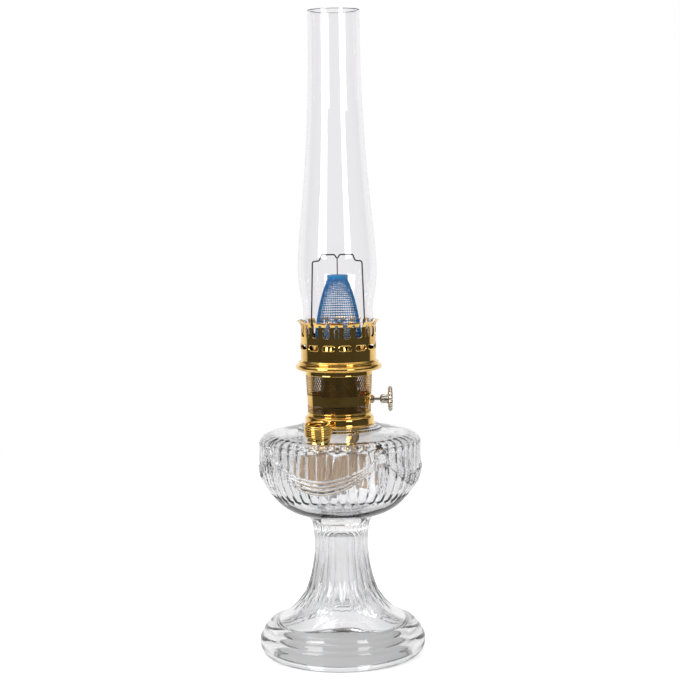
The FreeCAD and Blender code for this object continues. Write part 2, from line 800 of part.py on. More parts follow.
def raiser():
    """Rack and carrier on the wick, and the pinion, spindle, nut and knob."""
    pitch = pinion_module * pinion_teeth * HALF
    tooth_step = math.pi * pinion_module
    tip = pitch + pinion_module * tooth_height_share
    root = pitch - pinion_module * tooth_depth_share
    rack_tip = pitch - pinion_module * tooth_height_share
    rack_root = pitch + pinion_module * tooth_depth_share
    back = arm_reach()

    teeth = []
    low_count = math.floor((raiser_height - rack_low) / tooth_step)
    high_count = math.floor((rack_high - raiser_height) / tooth_step)
    for i in range(-low_count, high_count):
        middle = raiser_height + (i + HALF) * tooth_step
        for y, share in ((rack_root, -rack_tooth_root_share), (rack_tip, -rack_tooth_top_share),
                         (rack_tip, rack_tooth_top_share), (rack_root, rack_tooth_root_share)):
            teeth.append(FreeCAD.Vector(pinion_x, -y, middle + share * tooth_step))
    corners = [FreeCAD.Vector(pinion_x, -rack_root, rack_low)] + teeth + [
        FreeCAD.Vector(pinion_x, -rack_root, rack_high),
        FreeCAD.Vector(pinion_x, -back, rack_high), FreeCAD.Vector(pinion_x, -back, rack_low)]
    rack = prism(corners, RIGHT * rack_thickness)
    grip = tube(wick_outer_radius + carrier_wall, wick_outer_radius,
                carrier_low, carrier_low + carrier_height)
    arm = block(FreeCAD.Vector(0, -back + joint_gap, carrier_low),
                FreeCAD.Vector(pinion_x + rack_thickness, -back + rack_back, carrier_low + carrier_height))
    arm = arm.cut(Part.makeCylinder(wick_outer_radius + carrier_wall * HALF, overrun * 2 + rack_high,
                                    FreeCAD.Vector(0, 0, 0)))
    save("wick_carrier", grip.fuse(arm).fuse(rack))

    gear = prism(toothed(pinion_teeth, pitch, root, tip, tooth_root_share, tooth_top_share),
                 RIGHT * pinion_width)
    gear.translate(FreeCAD.Vector(pinion_x, 0, raiser_height))
    save("raiser_pinion", gear.cut(rod(spindle_radius, 0, hub_start)))
    save("spindle", rod(spindle_radius, spindle_start, hub_start + hub_length * HALF - spindle_start))

    nut_start = basket_bottom_radius + nut_seat
    bore = rod(spindle_radius + running_gap, 0, hub_start)
    carrier_tube = rod(spindle_tube_radius, spindle_tube_start, nut_start - spindle_tube_start)
    save("spindle_tube", carrier_tube.cut(bore))
    pocket = rod(packing_radius, nut_start, packing_width)
    nut_face = nut_start - nut_saddle
    nut_end = nut_start + nut_width
    nut = knob_place(faceted(
        at(0, nut_face), at(nut_radius, nut_face), at(nut_radius, nut_end),
        at(nut_hub_radius, nut_end), at(nut_hub_radius, nut_end + nut_hub_width),
        at(0, nut_end + nut_hub_width), sides=small_sides))
    wall = faceted(at(0, base_top_height), at(basket_bottom_radius, base_top_height),
                   at(basket_top_radius, basket_top_height), at(0, basket_top_height))
    save("packing_nut", nut.cut([wall, carrier_tube, pocket, bore]))
    save("spindle_packing", pocket.cut(bore))


def knob():
    """Round-nosed hub and lobed, dished wheel of the wick knob."""
    nose = hub_start
    flange = hub_start + hub_length
    hub = knob_place(faceted(
        at(0, nose), at(hub_nose_radius, nose), -dome_bow_share * 2,
        at(hub_radius, nose + hub_length * HALF), at(hub_radius, flange - hub_flange),
        at(hub_flange_radius, flange - hub_flange), at(hub_flange_radius, flange),
        at(0, flange), sides=small_sides))
    save("knob_hub", hub.cut(rod(spindle_radius, 0, nose + hub_length * HALF)))

    start = flange
    end = start + wheel_width
    rim_inner = wheel_radius - wheel_rim
    wheel = faceted(at(0, start), at(hub_flange_radius, start),
                   at(rim_inner, start + wheel_dish), at(rim_inner, start),
                   at(wheel_radius, start), at(wheel_radius, end), at(rim_inner, end),
                   at(rim_inner, start + wheel_dish + wheel_web),
                   at(hub_flange_radius, start + wheel_web), at(0, start + wheel_web))
    low = start - overrun
    tall = wheel_width + 2 * overrun
    scoop = peg(wheel_lobe_radius, wheel_radius + wheel_lobe_radius * HALF, low, tall)
    hole = peg(wheel_hole_radius, (rim_inner + hub_flange_radius) * HALF, low, tall)
    wheel = wheel.cut(turn_copies(scoop, wheel_lobes) + turn_copies(hole, wheel_holes))
    save("knob_wheel", knob_place(wheel))


def peg(radius, x, low, tall):
    """An upright bar of wire_sides flat sides beside the lamp's axis."""
    points = []
    for i in range(wire_sides):
        turn = math.radians(TURN * (i + HALF) / wire_sides)
        points.append(FreeCAD.Vector(x + radius * math.cos(turn), radius * math.sin(turn), low))
    return prism(points, UP * tall)


def knob_place(shape):
    """Lays a piece, made upright on the lamp's axis, along the spindle."""
    shape.rotate(ORIGIN, FreeCAD.Vector(0, 1, 0), TURN / 4)
    shape.translate(UP * raiser_height)
    return shape


def spreader():
    """Flame spreader: a thimble whose sleeve stands in the inner wick tube."""
    sleeve = inner_tube_radius - inner_tube_wall - running_gap
    save("flame_spreader", faceted(
        at(sleeve - spreader_wall, spreader_sleeve_low), at(sleeve, spreader_sleeve_low),
        at(sleeve, spreader_seat), at(spreader_radius, spreader_seat),
        at(spreader_radius, spreader_shoulder),
        -dome_bow_share, at(spreader_radius * HALF, spreader_top), at(0, spreader_top),
        at(0, spreader_top - spreader_wall),
        at(spreader_radius * HALF, spreader_top - spreader_wall),
        dome_bow_share, at(sleeve - spreader_wall, spreader_shoulder - spreader_wall)))


def rounded_opening(width, low, high, rounding, inner, outer):
    """A radial cutter along +X: an upright opening with rounded corners."""
    radius = min(rounding, width, high - low) * HALF
    across = width * HALF - radius
    rise = (high - low) * HALF - radius
    middle = (high + low) * HALF
    points = []
    for corner, (y_side, z_side) in enumerate(((1, 1), (-1, 1), (-1, -1), (1, -1))):
        for i in range(corner_pieces + 1):
            turn = math.radians(TURN * (corner + i / corner_pieces) / 4)
            points.append(FreeCAD.Vector(inner, y_side * across + radius * math.cos(turn),
                                         middle + z_side * rise + radius * math.sin(turn)))
    return prism(unrepeated(points), RIGHT * (outer - inner))


def band_turn(length):
    """The angle that a length takes up along the gallery's band."""
    return math.degrees(length / band_radius)


def crown_cutters():
    """Windows, slits between the prong tips, tongue slots and the pierced slots of the band."""
    inner = band_radius - 2 * overrun
    outer = crown_radius + 2 * overrun
    pitch = TURN / prong_count
    arc = math.radians(pitch) * band_radius
    window = arc - (panel_width + prong_stem) * HALF
    window_middle = (prong_stem + window) * HALF
    slit = math.radians(pitch) * crown_radius - prong_tip
    cutters = []
    for i in range(prong_count):
        middle = prong_phase + i * pitch
        between = middle + pitch * HALF
        cutters.append(radial(rounded_opening(
            slit, prong_tip_low - overrun, crown_high + slit, slit, inner, outer), between))
        cutters.append(radial(rounded_opening(
            slot_length, slot_height - slot_width * HALF, slot_height + slot_width * HALF,
            slot_width * HALF, inner, outer), between))
        for side in (-1, 1):
            if i % 2:
                cutters.append(radial(rounded_opening(
                    window, window_low, prong_tip_low, window * window_rounding_share, inner, outer),
                    middle + side * band_turn(window_middle)))
            else:
                cutters.append(radial(rounded_opening(
                    tongue_slot, window_low + tongue_inset, prong_tip_low - tongue_inset,
                    tongue_slot, inner, outer),
                    middle + side * band_turn((tongue_width + tongue_slot) * HALF)))
    return cutters


def gallery():
    """Band and crown, flange with its two beads, and the seat that holds the mantle."""
    inner = band_radius - sheet
    shell = faceted(at(inner, band_low), at(band_radius, band_low),
                    at(band_radius, crown_bend_height),
                    dome_bow_share, at(crown_radius, crown_high),
                    at(crown_radius - sheet, crown_high),
                    -dome_bow_share, at(inner, crown_bend_height))
    shell = shell.cut(crown_cutters())
    tab_low = slot_height + slot_width * HALF
    tab = block(FreeCAD.Vector(inner - seat_tab_reach, -seat_tab_width * HALF, tab_low),
                FreeCAD.Vector(inner + sheet * HALF, seat_tab_width * HALF, tab_low + sheet))
    pitch = TURN / prong_count
    tabs = turn_copies(radial(tab, prong_phase + pitch * HALF), prong_count)
    save("gallery", shell.fuse(tabs))

    bead_top = bead_high_low + bead_high_tall
    rim_clear = rim_radius + joint_gap
    save("gallery_flange", faceted(
        at(rim_clear, flange_low), at(bead_low_foot, flange_low),
        -bead_low_proud / bead_low_tall, at(bead_low_foot, flange_low + bead_low_tall),
        at(bead_high_foot, bead_high_low),
        -bead_high_proud / bead_high_tall, at(bead_high_foot, bead_top),
        at(band_radius, band_low), at(inner, band_low),
        at(inner, seat_floor_height), at(rim_clear, seat_floor_height)))

    floor_top = seat_floor_height + sheet
    rim_top = seat_rim_height + seat_rim
    save("mantle_seat", faceted(
        at(seat_foot_radius - sheet, seat_floor_height), at(inner, seat_floor_height),
        at(inner, floor_top), at(seat_foot_radius, floor_top),
        at(seat_rim_radius, seat_rim_height), at(seat_rim_radius, rim_top),
        at(seat_rim_radius - sheet, rim_top), at(seat_rim_radius - sheet, seat_rim_height)))


def bent_wire(points, radius):
    """A round wire through points, with each corner taken in two smaller bends."""
    path = [points[0]]
    for before, corner, after in zip(points, points[1:], points[2:]):
        room = wire_bend_share * min((before - corner).Length, (after - corner).Length)
        cut_back = min(wire_bend, room)
        path.append(corner + (before - corner).normalize() * cut_back)
        path.append(corner + (after - corner).normalize() * cut_back)
    path.append(points[-1])
    rings = []
    for i, point in enumerate(path):
        ways = []
        for start, end in zip(path[max(0, i - 1):], path[max(1, i):i + 2]):
            ways.append((end - start).normalize())
        way = (ways[0] + ways[-1]).normalize()
        mitre = way.dot(ways[0])
        side = FreeCAD.Vector(way.z, 0, -way.x) * (radius / mitre)
        ring = []
        for k in range(wire_sides):
            turn = math.radians(TURN * k / wire_sides)
            ring.append(point + side * math.cos(turn) + FreeCAD.Vector(0, radius * math.sin(turn), 0))
        rings.append(Part.makePolygon(ring + ring[:1]))
    return Part.makeLoft(rings, True, True)


def mantle():
    """Mantle cloth, its ring, the wire frame with clips, and the hanger."""
    ring_low = ring_top - ring_tall
    ring_inner = ring_radius - ring_wall
    save("mantle_ring", faceted(
        at(ring_inner, ring_low), at(ring_radius, ring_low), at(ring_radius, ring_top),
        at(seat_rim_radius, ring_top), at(seat_rim_radius, ring_top + ring_lip),
        at(ring_inner, ring_top + ring_lip)))

    skirt = ring_inner - running_gap
    cloth_low = ring_top + ring_lip - mantle_tuck
    eye = hanger_radius + running_gap
    save("mantle", faceted(
        at(skirt - mantle_cloth, cloth_low), at(skirt, cloth_low),
        at(skirt, mantle_skirt_height),
        -mantle_bow_share, at(mantle_mid_radius, mantle_mid_height),
        -mantle_bow_share, at(mantle_neck_radius, mantle_neck_height),
        at(mantle_top_radius, mantle_top), at(eye, mantle_top),
        at(eye, mantle_top - mantle_cloth),
        at(mantle_top_radius - mantle_cloth, mantle_top - mantle_cloth),
        at(mantle_neck_radius - mantle_cloth, mantle_neck_height),
        mantle_bow_share, at(mantle_mid_radius - mantle_cloth, mantle_mid_height),
        mantle_bow_share, at(skirt - mantle_cloth, mantle_skirt_height)))

    half = [(frame_foot_reach, frame_foot_height), (frame_shoulder_reach, frame_shoulder_height),
            (frame_step_reach, frame_step_height), (frame_top_reach, frame_top_height),
            (frame_dip_reach, frame_top_height)]
    points = [at(r, z) for r, z in half] + [at(0, frame_top_height - frame_dip)]
    points += [at(-r, z) for r, z in reversed(half)]
    frame = bent_wire(points, wire_radius)
    save("mantle_frame", frame)

    clip_low = ring_top + ring_lip
    clip_outer = frame_foot_reach - wire_radius
    clip = block(FreeCAD.Vector(ring_inner, -clip_width * HALF, clip_low),
                 FreeCAD.Vector(clip_outer, clip_width * HALF, clip_low + clip_thickness))
    upright = block(FreeCAD.Vector(clip_outer - clip_thickness, -clip_width * HALF, clip_low),
                    FreeCAD.Vector(clip_outer, clip_width * HALF, frame_foot_height + clip_rise))
    clips = Part.makeCompound(turn_copies(clip.fuse(upright), 2))
    save("mantle_clips", clips.cut(frame))

    dip = frame_top_height - frame_dip
    hanger_low = mantle_top - hanger_reach
    hanger = Part.makeCylinder(hanger_radius, dip - hanger_low, UP * hanger_low)
    foot_top = mantle_top - mantle_cloth - joint_gap
    stop = Part.makeCylinder(hanger_foot_radius, foot_top - hanger_low, UP * hanger_low)
    save("mantle_hanger", hanger.fuse(stop).cut(frame))


def chimney():
    """Tall clear chimney with a low bulge."""
    nodes = [(chimney_base_radius, chimney_low, 0), (chimney_base_radius, chimney_neck_height, 0),
             (chimney_waist_radius, chimney_waist_height, chimney_waist_bow_share),
             (chimney_bulge_radius, chimney_bulge_height, chimney_bulge_bow_share),
             (chimney_flare_radius, chimney_flare_height, chimney_shoulder_bow_share),
             (chimney_tube_radius, chimney_tube_height, chimney_flare_bow_share),
             (chimney_top_radius, chimney_high, 0)]
    steps = []
    for r, z, bow_share in nodes:
        steps += [bow_share, at(r, z)]
    back = []
    for i in range(len(nodes) - 1, -1, -1):
        r, z, bow_share = nodes[i]
        back += [at(r - chimney_wall, z), -bow_share]
    save("chimney", faceted(*steps[1:], *back[:-1]))


def main():
    """Builds every node."""
    os.makedirs("parts", exist_ok=True)
    foot()
    font()
    font_fittings()
    burner()
    wick_tubes()
    wick()
    wick_tails()
    raiser()
    knob()
    spreader()
    gallery()
    mantle()
    chimney()


main()
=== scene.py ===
"""Dresses the glass oil lamp: pressed glass, brass burner, knitted mantle and tall chimney."""

import logging
import math
from dataclasses import dataclass
from enum import Enum
from typing import Callable, Sequence

import bmesh
import bpy
import numpy as np
from mathutils import Matrix, Vector


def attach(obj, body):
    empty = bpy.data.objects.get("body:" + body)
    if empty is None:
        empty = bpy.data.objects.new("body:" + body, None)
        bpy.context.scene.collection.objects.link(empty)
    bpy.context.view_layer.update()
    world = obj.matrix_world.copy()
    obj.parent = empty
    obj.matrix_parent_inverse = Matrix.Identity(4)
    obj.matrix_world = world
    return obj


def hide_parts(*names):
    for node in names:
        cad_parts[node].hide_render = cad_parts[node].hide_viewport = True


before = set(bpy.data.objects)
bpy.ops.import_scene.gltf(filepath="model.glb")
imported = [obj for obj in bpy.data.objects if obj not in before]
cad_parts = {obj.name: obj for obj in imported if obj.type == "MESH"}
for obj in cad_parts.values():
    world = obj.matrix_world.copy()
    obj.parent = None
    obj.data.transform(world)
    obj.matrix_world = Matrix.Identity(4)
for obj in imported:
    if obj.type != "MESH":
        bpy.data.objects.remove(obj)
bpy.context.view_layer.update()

MM = 0.001
FULL_TURN = 2 * math.pi
FRONT = -math.pi / 2
WELD = 0.002                     # in millimetres
RUB_SCALE = 900.0
LOG = logging.getLogger("lamp")

Point = tuple[float, float]
Colour = tuple[float, float, float]
Socket = bpy.types.NodeSocket
Tree = bpy.types.NodeTree
Piece = bpy.types.Object


class Bow(Enum):
    """Rise of the lamp's usual arcs, as a share of their chords."""

    DOME = 0.098
    STEM = 0.036
    RIDGE = 0.12
    BELLY = 0.1
    SIDE = 0.105
    SHOULDER = 0.16
    CROWN = 0.03


class Way(Enum):
    """Body that a piece rides on."""

    LAMP = "lamp"
    KNOB = "knob"
    WICK = "wick"
    SPREADER = "spreader"
    GALLERY = "gallery"
    MANTLE = "mantle"
    CHIMNEY = "chimney"
    GASKET = "gasket"
    CAP = "cap"


# ---------------------------------------------------------------- outlines and modelling


def arc(start: Point, end: Point, share: float, pieces: int = 8) -> list[Point]:
    """Points after start along an arc.

    Args:
        start: Radius and height of the first point, in millimetres.
        end: Radius and height of the last point.
        share: Rise of the arc as a share of its chord, left of its way.
        pieces: Number of straight pieces.

    Returns:
        The points after start, end among them.
    """
    half = 2 * math.atan(2 * share)
    chord = (end[0] - start[0], end[1] - start[1])
    points = []
    for i in range(1, pieces + 1):
        turn = (2 * i / pieces - 1) * half
        along = 0.5 + math.sin(turn) / math.sin(half) / 2
        rise = (math.cos(turn) - math.cos(half)) / math.sin(half) / 2
        points.append((start[0] + chord[0] * along - chord[1] * rise,
                       start[1] + chord[1] * along + chord[0] * rise))
    return points


def outline(*steps: Point | float, pieces: int = 8) -> list[Point]:
    """Points through the steps, with the bow share of an arc between two of them.

    Args:
        steps: Points, and a number before a point that an arc leads to.
        pieces: Straight pieces in each arc.

    Returns:
        The points of the outline.
    """
    points = [steps[0]]
    share = 0.0
    for step in steps[1:]:
        if isinstance(step, (int, float)):
            share = step
            continue
        points += arc(points[-1], step, share, pieces) if share else [step]
        share = 0.0
    return points


def evenly(points: Sequence[Point], step: float) -> list[Point]:
    """The same outline with points no further apart than step.

    Args:
        points: The outline.
        step: Largest distance between two points, in millimetres.

    Returns:
        The outline with points added on its straight pieces.
    """
    dense = [points[0]]
    for before, after in zip(points, points[1:]):
        count = max(1, math.ceil(math.dist(before, after) / step))
        for i in range(1, count + 1):
            dense.append((before[0] + (after[0] - before[0]) * i / count,
                          before[1] + (after[1] - before[1]) * i / count))
    return dense


def deselect() -> None:
    """Leaves edit mode and deselects every object."""
    if bpy.context.object and bpy.context.object.mode != "OBJECT":
        bpy.ops.object.mode_set(mode="OBJECT")
    bpy.ops.object.select_all(action="DESELECT")


def only(obj: Piece) -> None:
    """Makes one object the selected and active one."""
    deselect()
    obj.select_set(True)
    bpy.context.view_layer.objects.active = obj
def edit(obj: Piece) -> None:
    """Opens an object in edit mode with everything selected."""
    only(obj)
    bpy.ops.object.mode_set(mode="EDIT")
    bpy.ops.mesh.select_all(action="SELECT")


def clean(obj: Piece, weld: float = 0.0) -> None:
    """Joins points closer than weld millimetres and turns the faces outward."""
    edit(obj)
    if weld:
        bpy.ops.mesh.remove_doubles(threshold=weld * MM)
    bpy.ops.mesh.normals_make_consistent(inside=False)
    bpy.ops.object.mode_set(mode="OBJECT")
def lathe(name: str, chain: Sequence[Point], steps: int = 96, closed: bool = True,
          angle: float = 35.0) -> Piece:
    """Extrudes an outline from one point and spins it about the lamp's axis.

    Args:
        name: Name of the piece.
        chain: Radius and height of the outline's points, in millimetres.
        steps: Segments of the full turn.
        closed: Whether an edge leads from the last point to the first.
        angle: Edges flatter than this many degrees are shaded smooth.

    Returns:
        The new object, at the origin.
    """
    deselect()
    first = chain[0]
    bpy.ops.mesh.primitive_plane_add(size=MM, location=(first[0] * MM, 0, first[1] * MM))
    obj = bpy.context.object
    obj.name = name
    bpy.ops.object.transform_apply(location=True, rotation=True, scale=True)
    edit(obj)
    bpy.ops.mesh.merge(type="CENTER")
    for before, after in zip(chain, chain[1:]):
        move = ((after[0] - before[0]) * MM, 0, (after[1] - before[1]) * MM)
        bpy.ops.mesh.extrude_region_move(TRANSFORM_OT_translate={"value": move})
    if closed:
        mesh = bmesh.from_edit_mesh(obj.data)
        mesh.verts.ensure_lookup_table()
        ends = [v for v in mesh.verts if len(v.link_edges) == 1]
        for vert in mesh.verts:
            vert.select_set(vert in ends)
        bmesh.update_edit_mesh(obj.data)
        bpy.ops.mesh.edge_face_add()
    bpy.ops.mesh.select_all(action="SELECT")
    bpy.ops.mesh.spin(steps=steps, angle=FULL_TURN, center=(0, 0, 0), axis=(0, 0, 1))
    clean(obj, WELD)
    smooth(obj, angle)
    return obj


def smooth(obj: Piece, angle: float = 35.0) -> None:
    """Shades an object smooth, with sharp edges where it turns more than angle."""
    only(obj)
    bpy.ops.object.shade_smooth_by_angle(angle=math.radians(angle))


def points_of(obj: Piece) -> np.ndarray:
    """Rows of x, y and z of a mesh's points, in millimetres."""
    flat = np.empty(len(obj.data.vertices) * 3)
    obj.data.vertices.foreach_get("co", flat)
    return (flat.reshape(-1, 3) / MM).T


def set_points(obj: Piece, *rows: np.ndarray) -> None:
    """Moves a mesh's points to rows of x, y and z in millimetres."""
    obj.data.vertices.foreach_set("co", (np.stack(rows, axis=1) * MM).ravel())
    obj.data.update()


def shaped(obj: Piece, move: Callable[..., tuple]) -> None:
    """Moves every point of a mesh by a rule in cylinder coordinates.

    Args:
        obj: The object.
        move: Takes arrays of radius, angle right of the front and height, in millimetres and
            radians, and returns the new ones.
    """
    x, y, z = points_of(obj)
    turn = np.arctan2(y, x) - FRONT
    r, turn, z = move(np.hypot(x, y), (turn + math.pi) % FULL_TURN - math.pi, z)
    set_points(obj, r * np.cos(turn + FRONT), r * np.sin(turn + FRONT), z)


def block(turn: float, place: tuple, size: tuple) -> Piece:
    """A box whose mesh is moved to its place and then turned about the lamp's axis.

    Args:
        turn: Angle in radians.
        place: Its middle before the turn, in millimetres.
        size: Its sides in millimetres.

    Returns:
        The box, at the origin.
    """
    deselect()
    bpy.ops.mesh.primitive_cube_add(size=1)
    scale = Matrix.Diagonal((*(side * MM for side in size), 1))
    return placed(bpy.context.object, Matrix.Rotation(turn, 4, "Z")
                  @ Matrix.Translation(Vector(place) * MM) @ scale)


def thicken(obj: Piece, thickness: float, offset: float) -> None:
    """Gives a sheet its thickness in millimetres, with offset -1 or 1 to one side of it."""
    thick = obj.modifiers.new("thickness", "SOLIDIFY")
    thick.thickness = thickness * MM
    thick.offset = offset
    finish_modifiers(obj)


def finish_modifiers(obj: Piece) -> None:
    """Applies every modifier of an object."""
    only(obj)
    for modifier in list(obj.modifiers):
        bpy.ops.object.modifier_apply(modifier=modifier.name)


def joined(parts: Sequence[Piece]) -> Piece:
    """Joins objects into the first one."""
    deselect()
    for part in parts:
        part.select_set(True)
    bpy.context.view_layer.objects.active = parts[0]
    if len(parts) > 1:
        bpy.ops.object.join()
    return bpy.context.object


def placed(obj: Piece, matrix: Matrix) -> Piece:
    """Moves the mesh of an object and leaves the object at the origin."""
    obj.data.transform(matrix)
    obj.data.update()
    return obj


def rod(name: str, points: Sequence[tuple[float, float, float]], radius: float,
        sides: int = 4, cyclic: bool = False) -> Piece:
    """A round wire along points.

    Args:
        name: Name of the piece.
        points: The wire's middle line in millimetres.
        radius: Radius of the wire in millimetres.
        sides: Bevel resolution.
        cyclic: Whether the wire is a ring.

    Returns:
        The wire as a mesh object at the origin.
    """
    deselect()
    data = bpy.data.curves.new(name, "CURVE")
    data.dimensions = "3D"
    data.bevel_depth = radius * MM
    data.bevel_resolution = sides
    data.use_fill_caps = True
    spline = data.splines.new("POLY")
    spline.points.add(len(points) - 1)
    for place, point in zip(points, spline.points):
        point.co = (place[0] * MM, place[1] * MM, place[2] * MM, 1)
    spline.use_cyclic_u = cyclic
    obj = bpy.data.objects.new(name, data)
    bpy.context.collection.objects.link(obj)
    only(obj)
    bpy.ops.object.convert(target="MESH")
    obj = bpy.context.object
    smooth(obj, 50)
    return obj


def settle(obj: Piece, material: bpy.types.Material, way: Way, slot: str,
           *nodes: str) -> None:
    """Gives a finished piece its material, body and the CAD nodes that it stands for.

    Args:
        obj: The piece.
        material: Its material.
        way: The body that it rides on.
        slot: The record's material slot; not used.
        nodes: CAD nodes that it replaces.
    """
    obj.data.materials.clear()
    obj.data.materials.append(material)
    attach(obj, way.value)
    if nodes:
        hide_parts(*nodes)
    LOG.info("%s: %d faces", obj.name, len(obj.data.polygons))


# ---------------------------------------------------------------- finishes


def put(tree: Tree, kind: str, wires: dict[str, Socket] | None = None,
        **values: float | tuple) -> bpy.types.Node:
    """Adds a node to a tree, sets its inputs and joins others.

    Args:
        tree: The node tree.
        kind: Type of the node, without its first word ShaderNode.
        wires: The socket that feeds each input.
        values: Values of inputs, with _ for each space in their names.

    Returns:
        The node.
    """
    node = tree.nodes.new("ShaderNode" + kind)
    for label, value in values.items():
        node.inputs[label.replace("_", " ")].default_value = value
    for label, source in (wires or {}).items():
        tree.links.new(source, node.inputs[label])
    return node


def reckon(tree: Tree, operation: str, *given: Socket | float) -> Socket:
    """Adds a Math node.

    Args:
        tree: The node tree.
        operation: What it reckons.
        given: A number or a socket for each input.

    Returns:
        The socket of its value.
    """
    node = tree.nodes.new("ShaderNodeMath")
    node.operation = operation
    for i, source in enumerate(given):
        if isinstance(source, float):
            node.inputs[i].default_value = source
        else:
            tree.links.new(source, node.inputs[i])
    return node.outputs["Value"]


def ranged(tree: Tree, source: Socket, low: float, high: float, start: float = 0.0,
           end: float = 1.0) -> Socket:
    """Maps a value that runs from low to high to one from start to end."""
    return put(tree, "MapRange", {"Value": source}, From_Min=low, From_Max=high, To_Min=start,
               To_Max=end).outputs["Result"]


def colour_mix(tree: Tree, low: Colour | Socket, high: Colour | Socket, share: Socket) -> Socket:
    """Mixes two colours by a share from 0 to 1.

    Args:
        tree: The node tree.
        low: Colour at 0, or the socket that feeds it.
        high: Colour at 1, or the socket that feeds it.
        share: Socket of the share.

    Returns:
        The socket of the mix.
    """
    mix = tree.nodes.new("ShaderNodeMix")
    mix.data_type = "RGBA"
    for label, given in (("A", low), ("B", high)):
        if isinstance(given, tuple):
            mix.inputs[label].default_value = (*given, 1.0)
        else:
            tree.links.new(given, mix.inputs[label])
    tree.links.new(share, mix.inputs["Factor"])
    return mix.outputs["Result"]


class Board:
    """One material's node board, with short ways to set and feed its shader."""

    def __init__(self, name: str, **values: float | tuple) -> None:
        """Starts a material and sets inputs of its Principled shader, with _ for each space."""
        self.material = bpy.data.materials.new(name)
        self.material.use_nodes = True
        self.tree = self.material.node_tree
        self.shader = self.tree.nodes["Principled BSDF"].inputs
        for label, value in values.items():
            self.shader[label.replace("_", " ")].default_value = value

    def feed(self, label: str, source: Socket) -> None:
        """Joins a socket to an input of the shader."""
        self.tree.links.new(source, self.shader[label])

    def place(self) -> Socket:
        """The Object coordinates of the piece."""
        return put(self.tree, "TexCoord").outputs["Object"]

    def group(self, made: Tree, **values: float) -> bpy.types.NodeOutputs:
        """Places a shared group, sets its inputs by name and gives its outputs."""
        node = self.tree.nodes.new("ShaderNodeGroup")
        node.node_tree = made
        for name, value in values.items():
            node.inputs[name.replace("_", " ")].default_value = value
        self.tree.links.new(self.place(), node.inputs["Place"])
        return node.outputs

    def bump(self, height: Socket, strength: float, distance: float) -> None:
        """Feeds a height through a Bump node into the shader's normal."""
        node = put(self.tree, "Bump", {"Height": height}, Strength=strength, Distance=distance)
        self.feed("Normal", node.outputs["Normal"])


def shared_group(name: str, inputs: dict[str, float], outputs: Sequence[str]) -> Tree:
    """A shader group with float inputs, a Place vector input and float outputs.

    Args:
        name: Name of the group.
        inputs: Float inputs and their usual values.
        outputs: Names of the float outputs.

    Returns:
        The group's node tree, with its Group Input and Group Output nodes.
    """
    tree = bpy.data.node_groups.new(name, "ShaderNodeTree")
    tree.interface.new_socket("Place", in_out="INPUT", socket_type="NodeSocketVector")
    for label, value in inputs.items():
        socket = tree.interface.new_socket(label, in_out="INPUT", socket_type="NodeSocketFloat")
        socket.default_value = value
    for label in outputs:
        tree.interface.new_socket(label, in_out="OUTPUT", socket_type="NodeSocketFloat")
    tree.nodes.new("NodeGroupInput")
    tree.nodes.new("NodeGroupOutput")
    return tree


def handling_group() -> Tree:
    """Cloudy tarnish and fine rubbing marks of metal that is handled: masks from 0 to 1."""
    tree = shared_group("handling_marks", {"Cloud Scale": 60.0, "Rub Scale": RUB_SCALE},
                        ("Tarnish", "Rub"))
    taken, given = tree.nodes["Group Input"].outputs, tree.nodes["Group Output"].inputs
    cloud = put(tree, "TexNoise", {"Vector": taken["Place"], "Scale": taken["Cloud Scale"]},
                Detail=6.0, Roughness=0.62)
    stretch = put(tree, "Mapping", {"Vector": taken["Place"]}, Scale=(1.0, 1.0, 7.0))
    rub = put(tree, "TexNoise", {"Vector": stretch.outputs["Vector"], "Scale": taken["Rub Scale"]},
              Detail=3.0)
    tree.links.new(ranged(tree, cloud.outputs["Fac"], 0.42, 0.68), given["Tarnish"])
    tree.links.new(rub.outputs["Fac"], given["Rub"])
    return tree


def weave_group() -> Tree:
    """Crossing yarns of cloth: a height from 0 to 1 and a cloudy tint."""
    tree = shared_group("yarn_weave", {"Yarns": 900.0}, ("Height", "Tint"))
    taken, given = tree.nodes["Group Input"].outputs, tree.nodes["Group Output"].inputs
    waves = []
    for direction in ("X", "Z"):
        wave = put(tree, "TexWave", {"Vector": taken["Place"], "Scale": taken["Yarns"]},
                   Distortion=1.2, Detail=1.0)
        wave.bands_direction = direction
        waves.append(wave.outputs["Fac"])
    cloud = put(tree, "TexNoise", {"Vector": taken["Place"]}, Scale=110.0, Detail=5.0)
    tree.links.new(reckon(tree, "MAXIMUM", *waves), given["Height"])
    tree.links.new(cloud.outputs["Fac"], given["Tint"])
    return tree


@dataclass(frozen=True)
class GlassFinish:
    """Clear glass with faint waves from its mould or from blowing."""

    name: str
    tint: Colour
    wave_scale: float
    wave_rise: float
    ior: float = 1.5

    def make(self) -> bpy.types.Material:
        """Builds the material."""
        board = Board(self.name, Base_Color=(*self.tint, 1.0), Roughness=0.0, IOR=self.ior,
                      Transmission_Weight=1.0, Metallic=0.0)
        wave = put(board.tree, "TexNoise", {"Vector": board.place()}, Scale=self.wave_scale,
                   Detail=1.5)
        board.bump(wave.outputs["Fac"], self.wave_rise, 2 * MM)
        return board.material


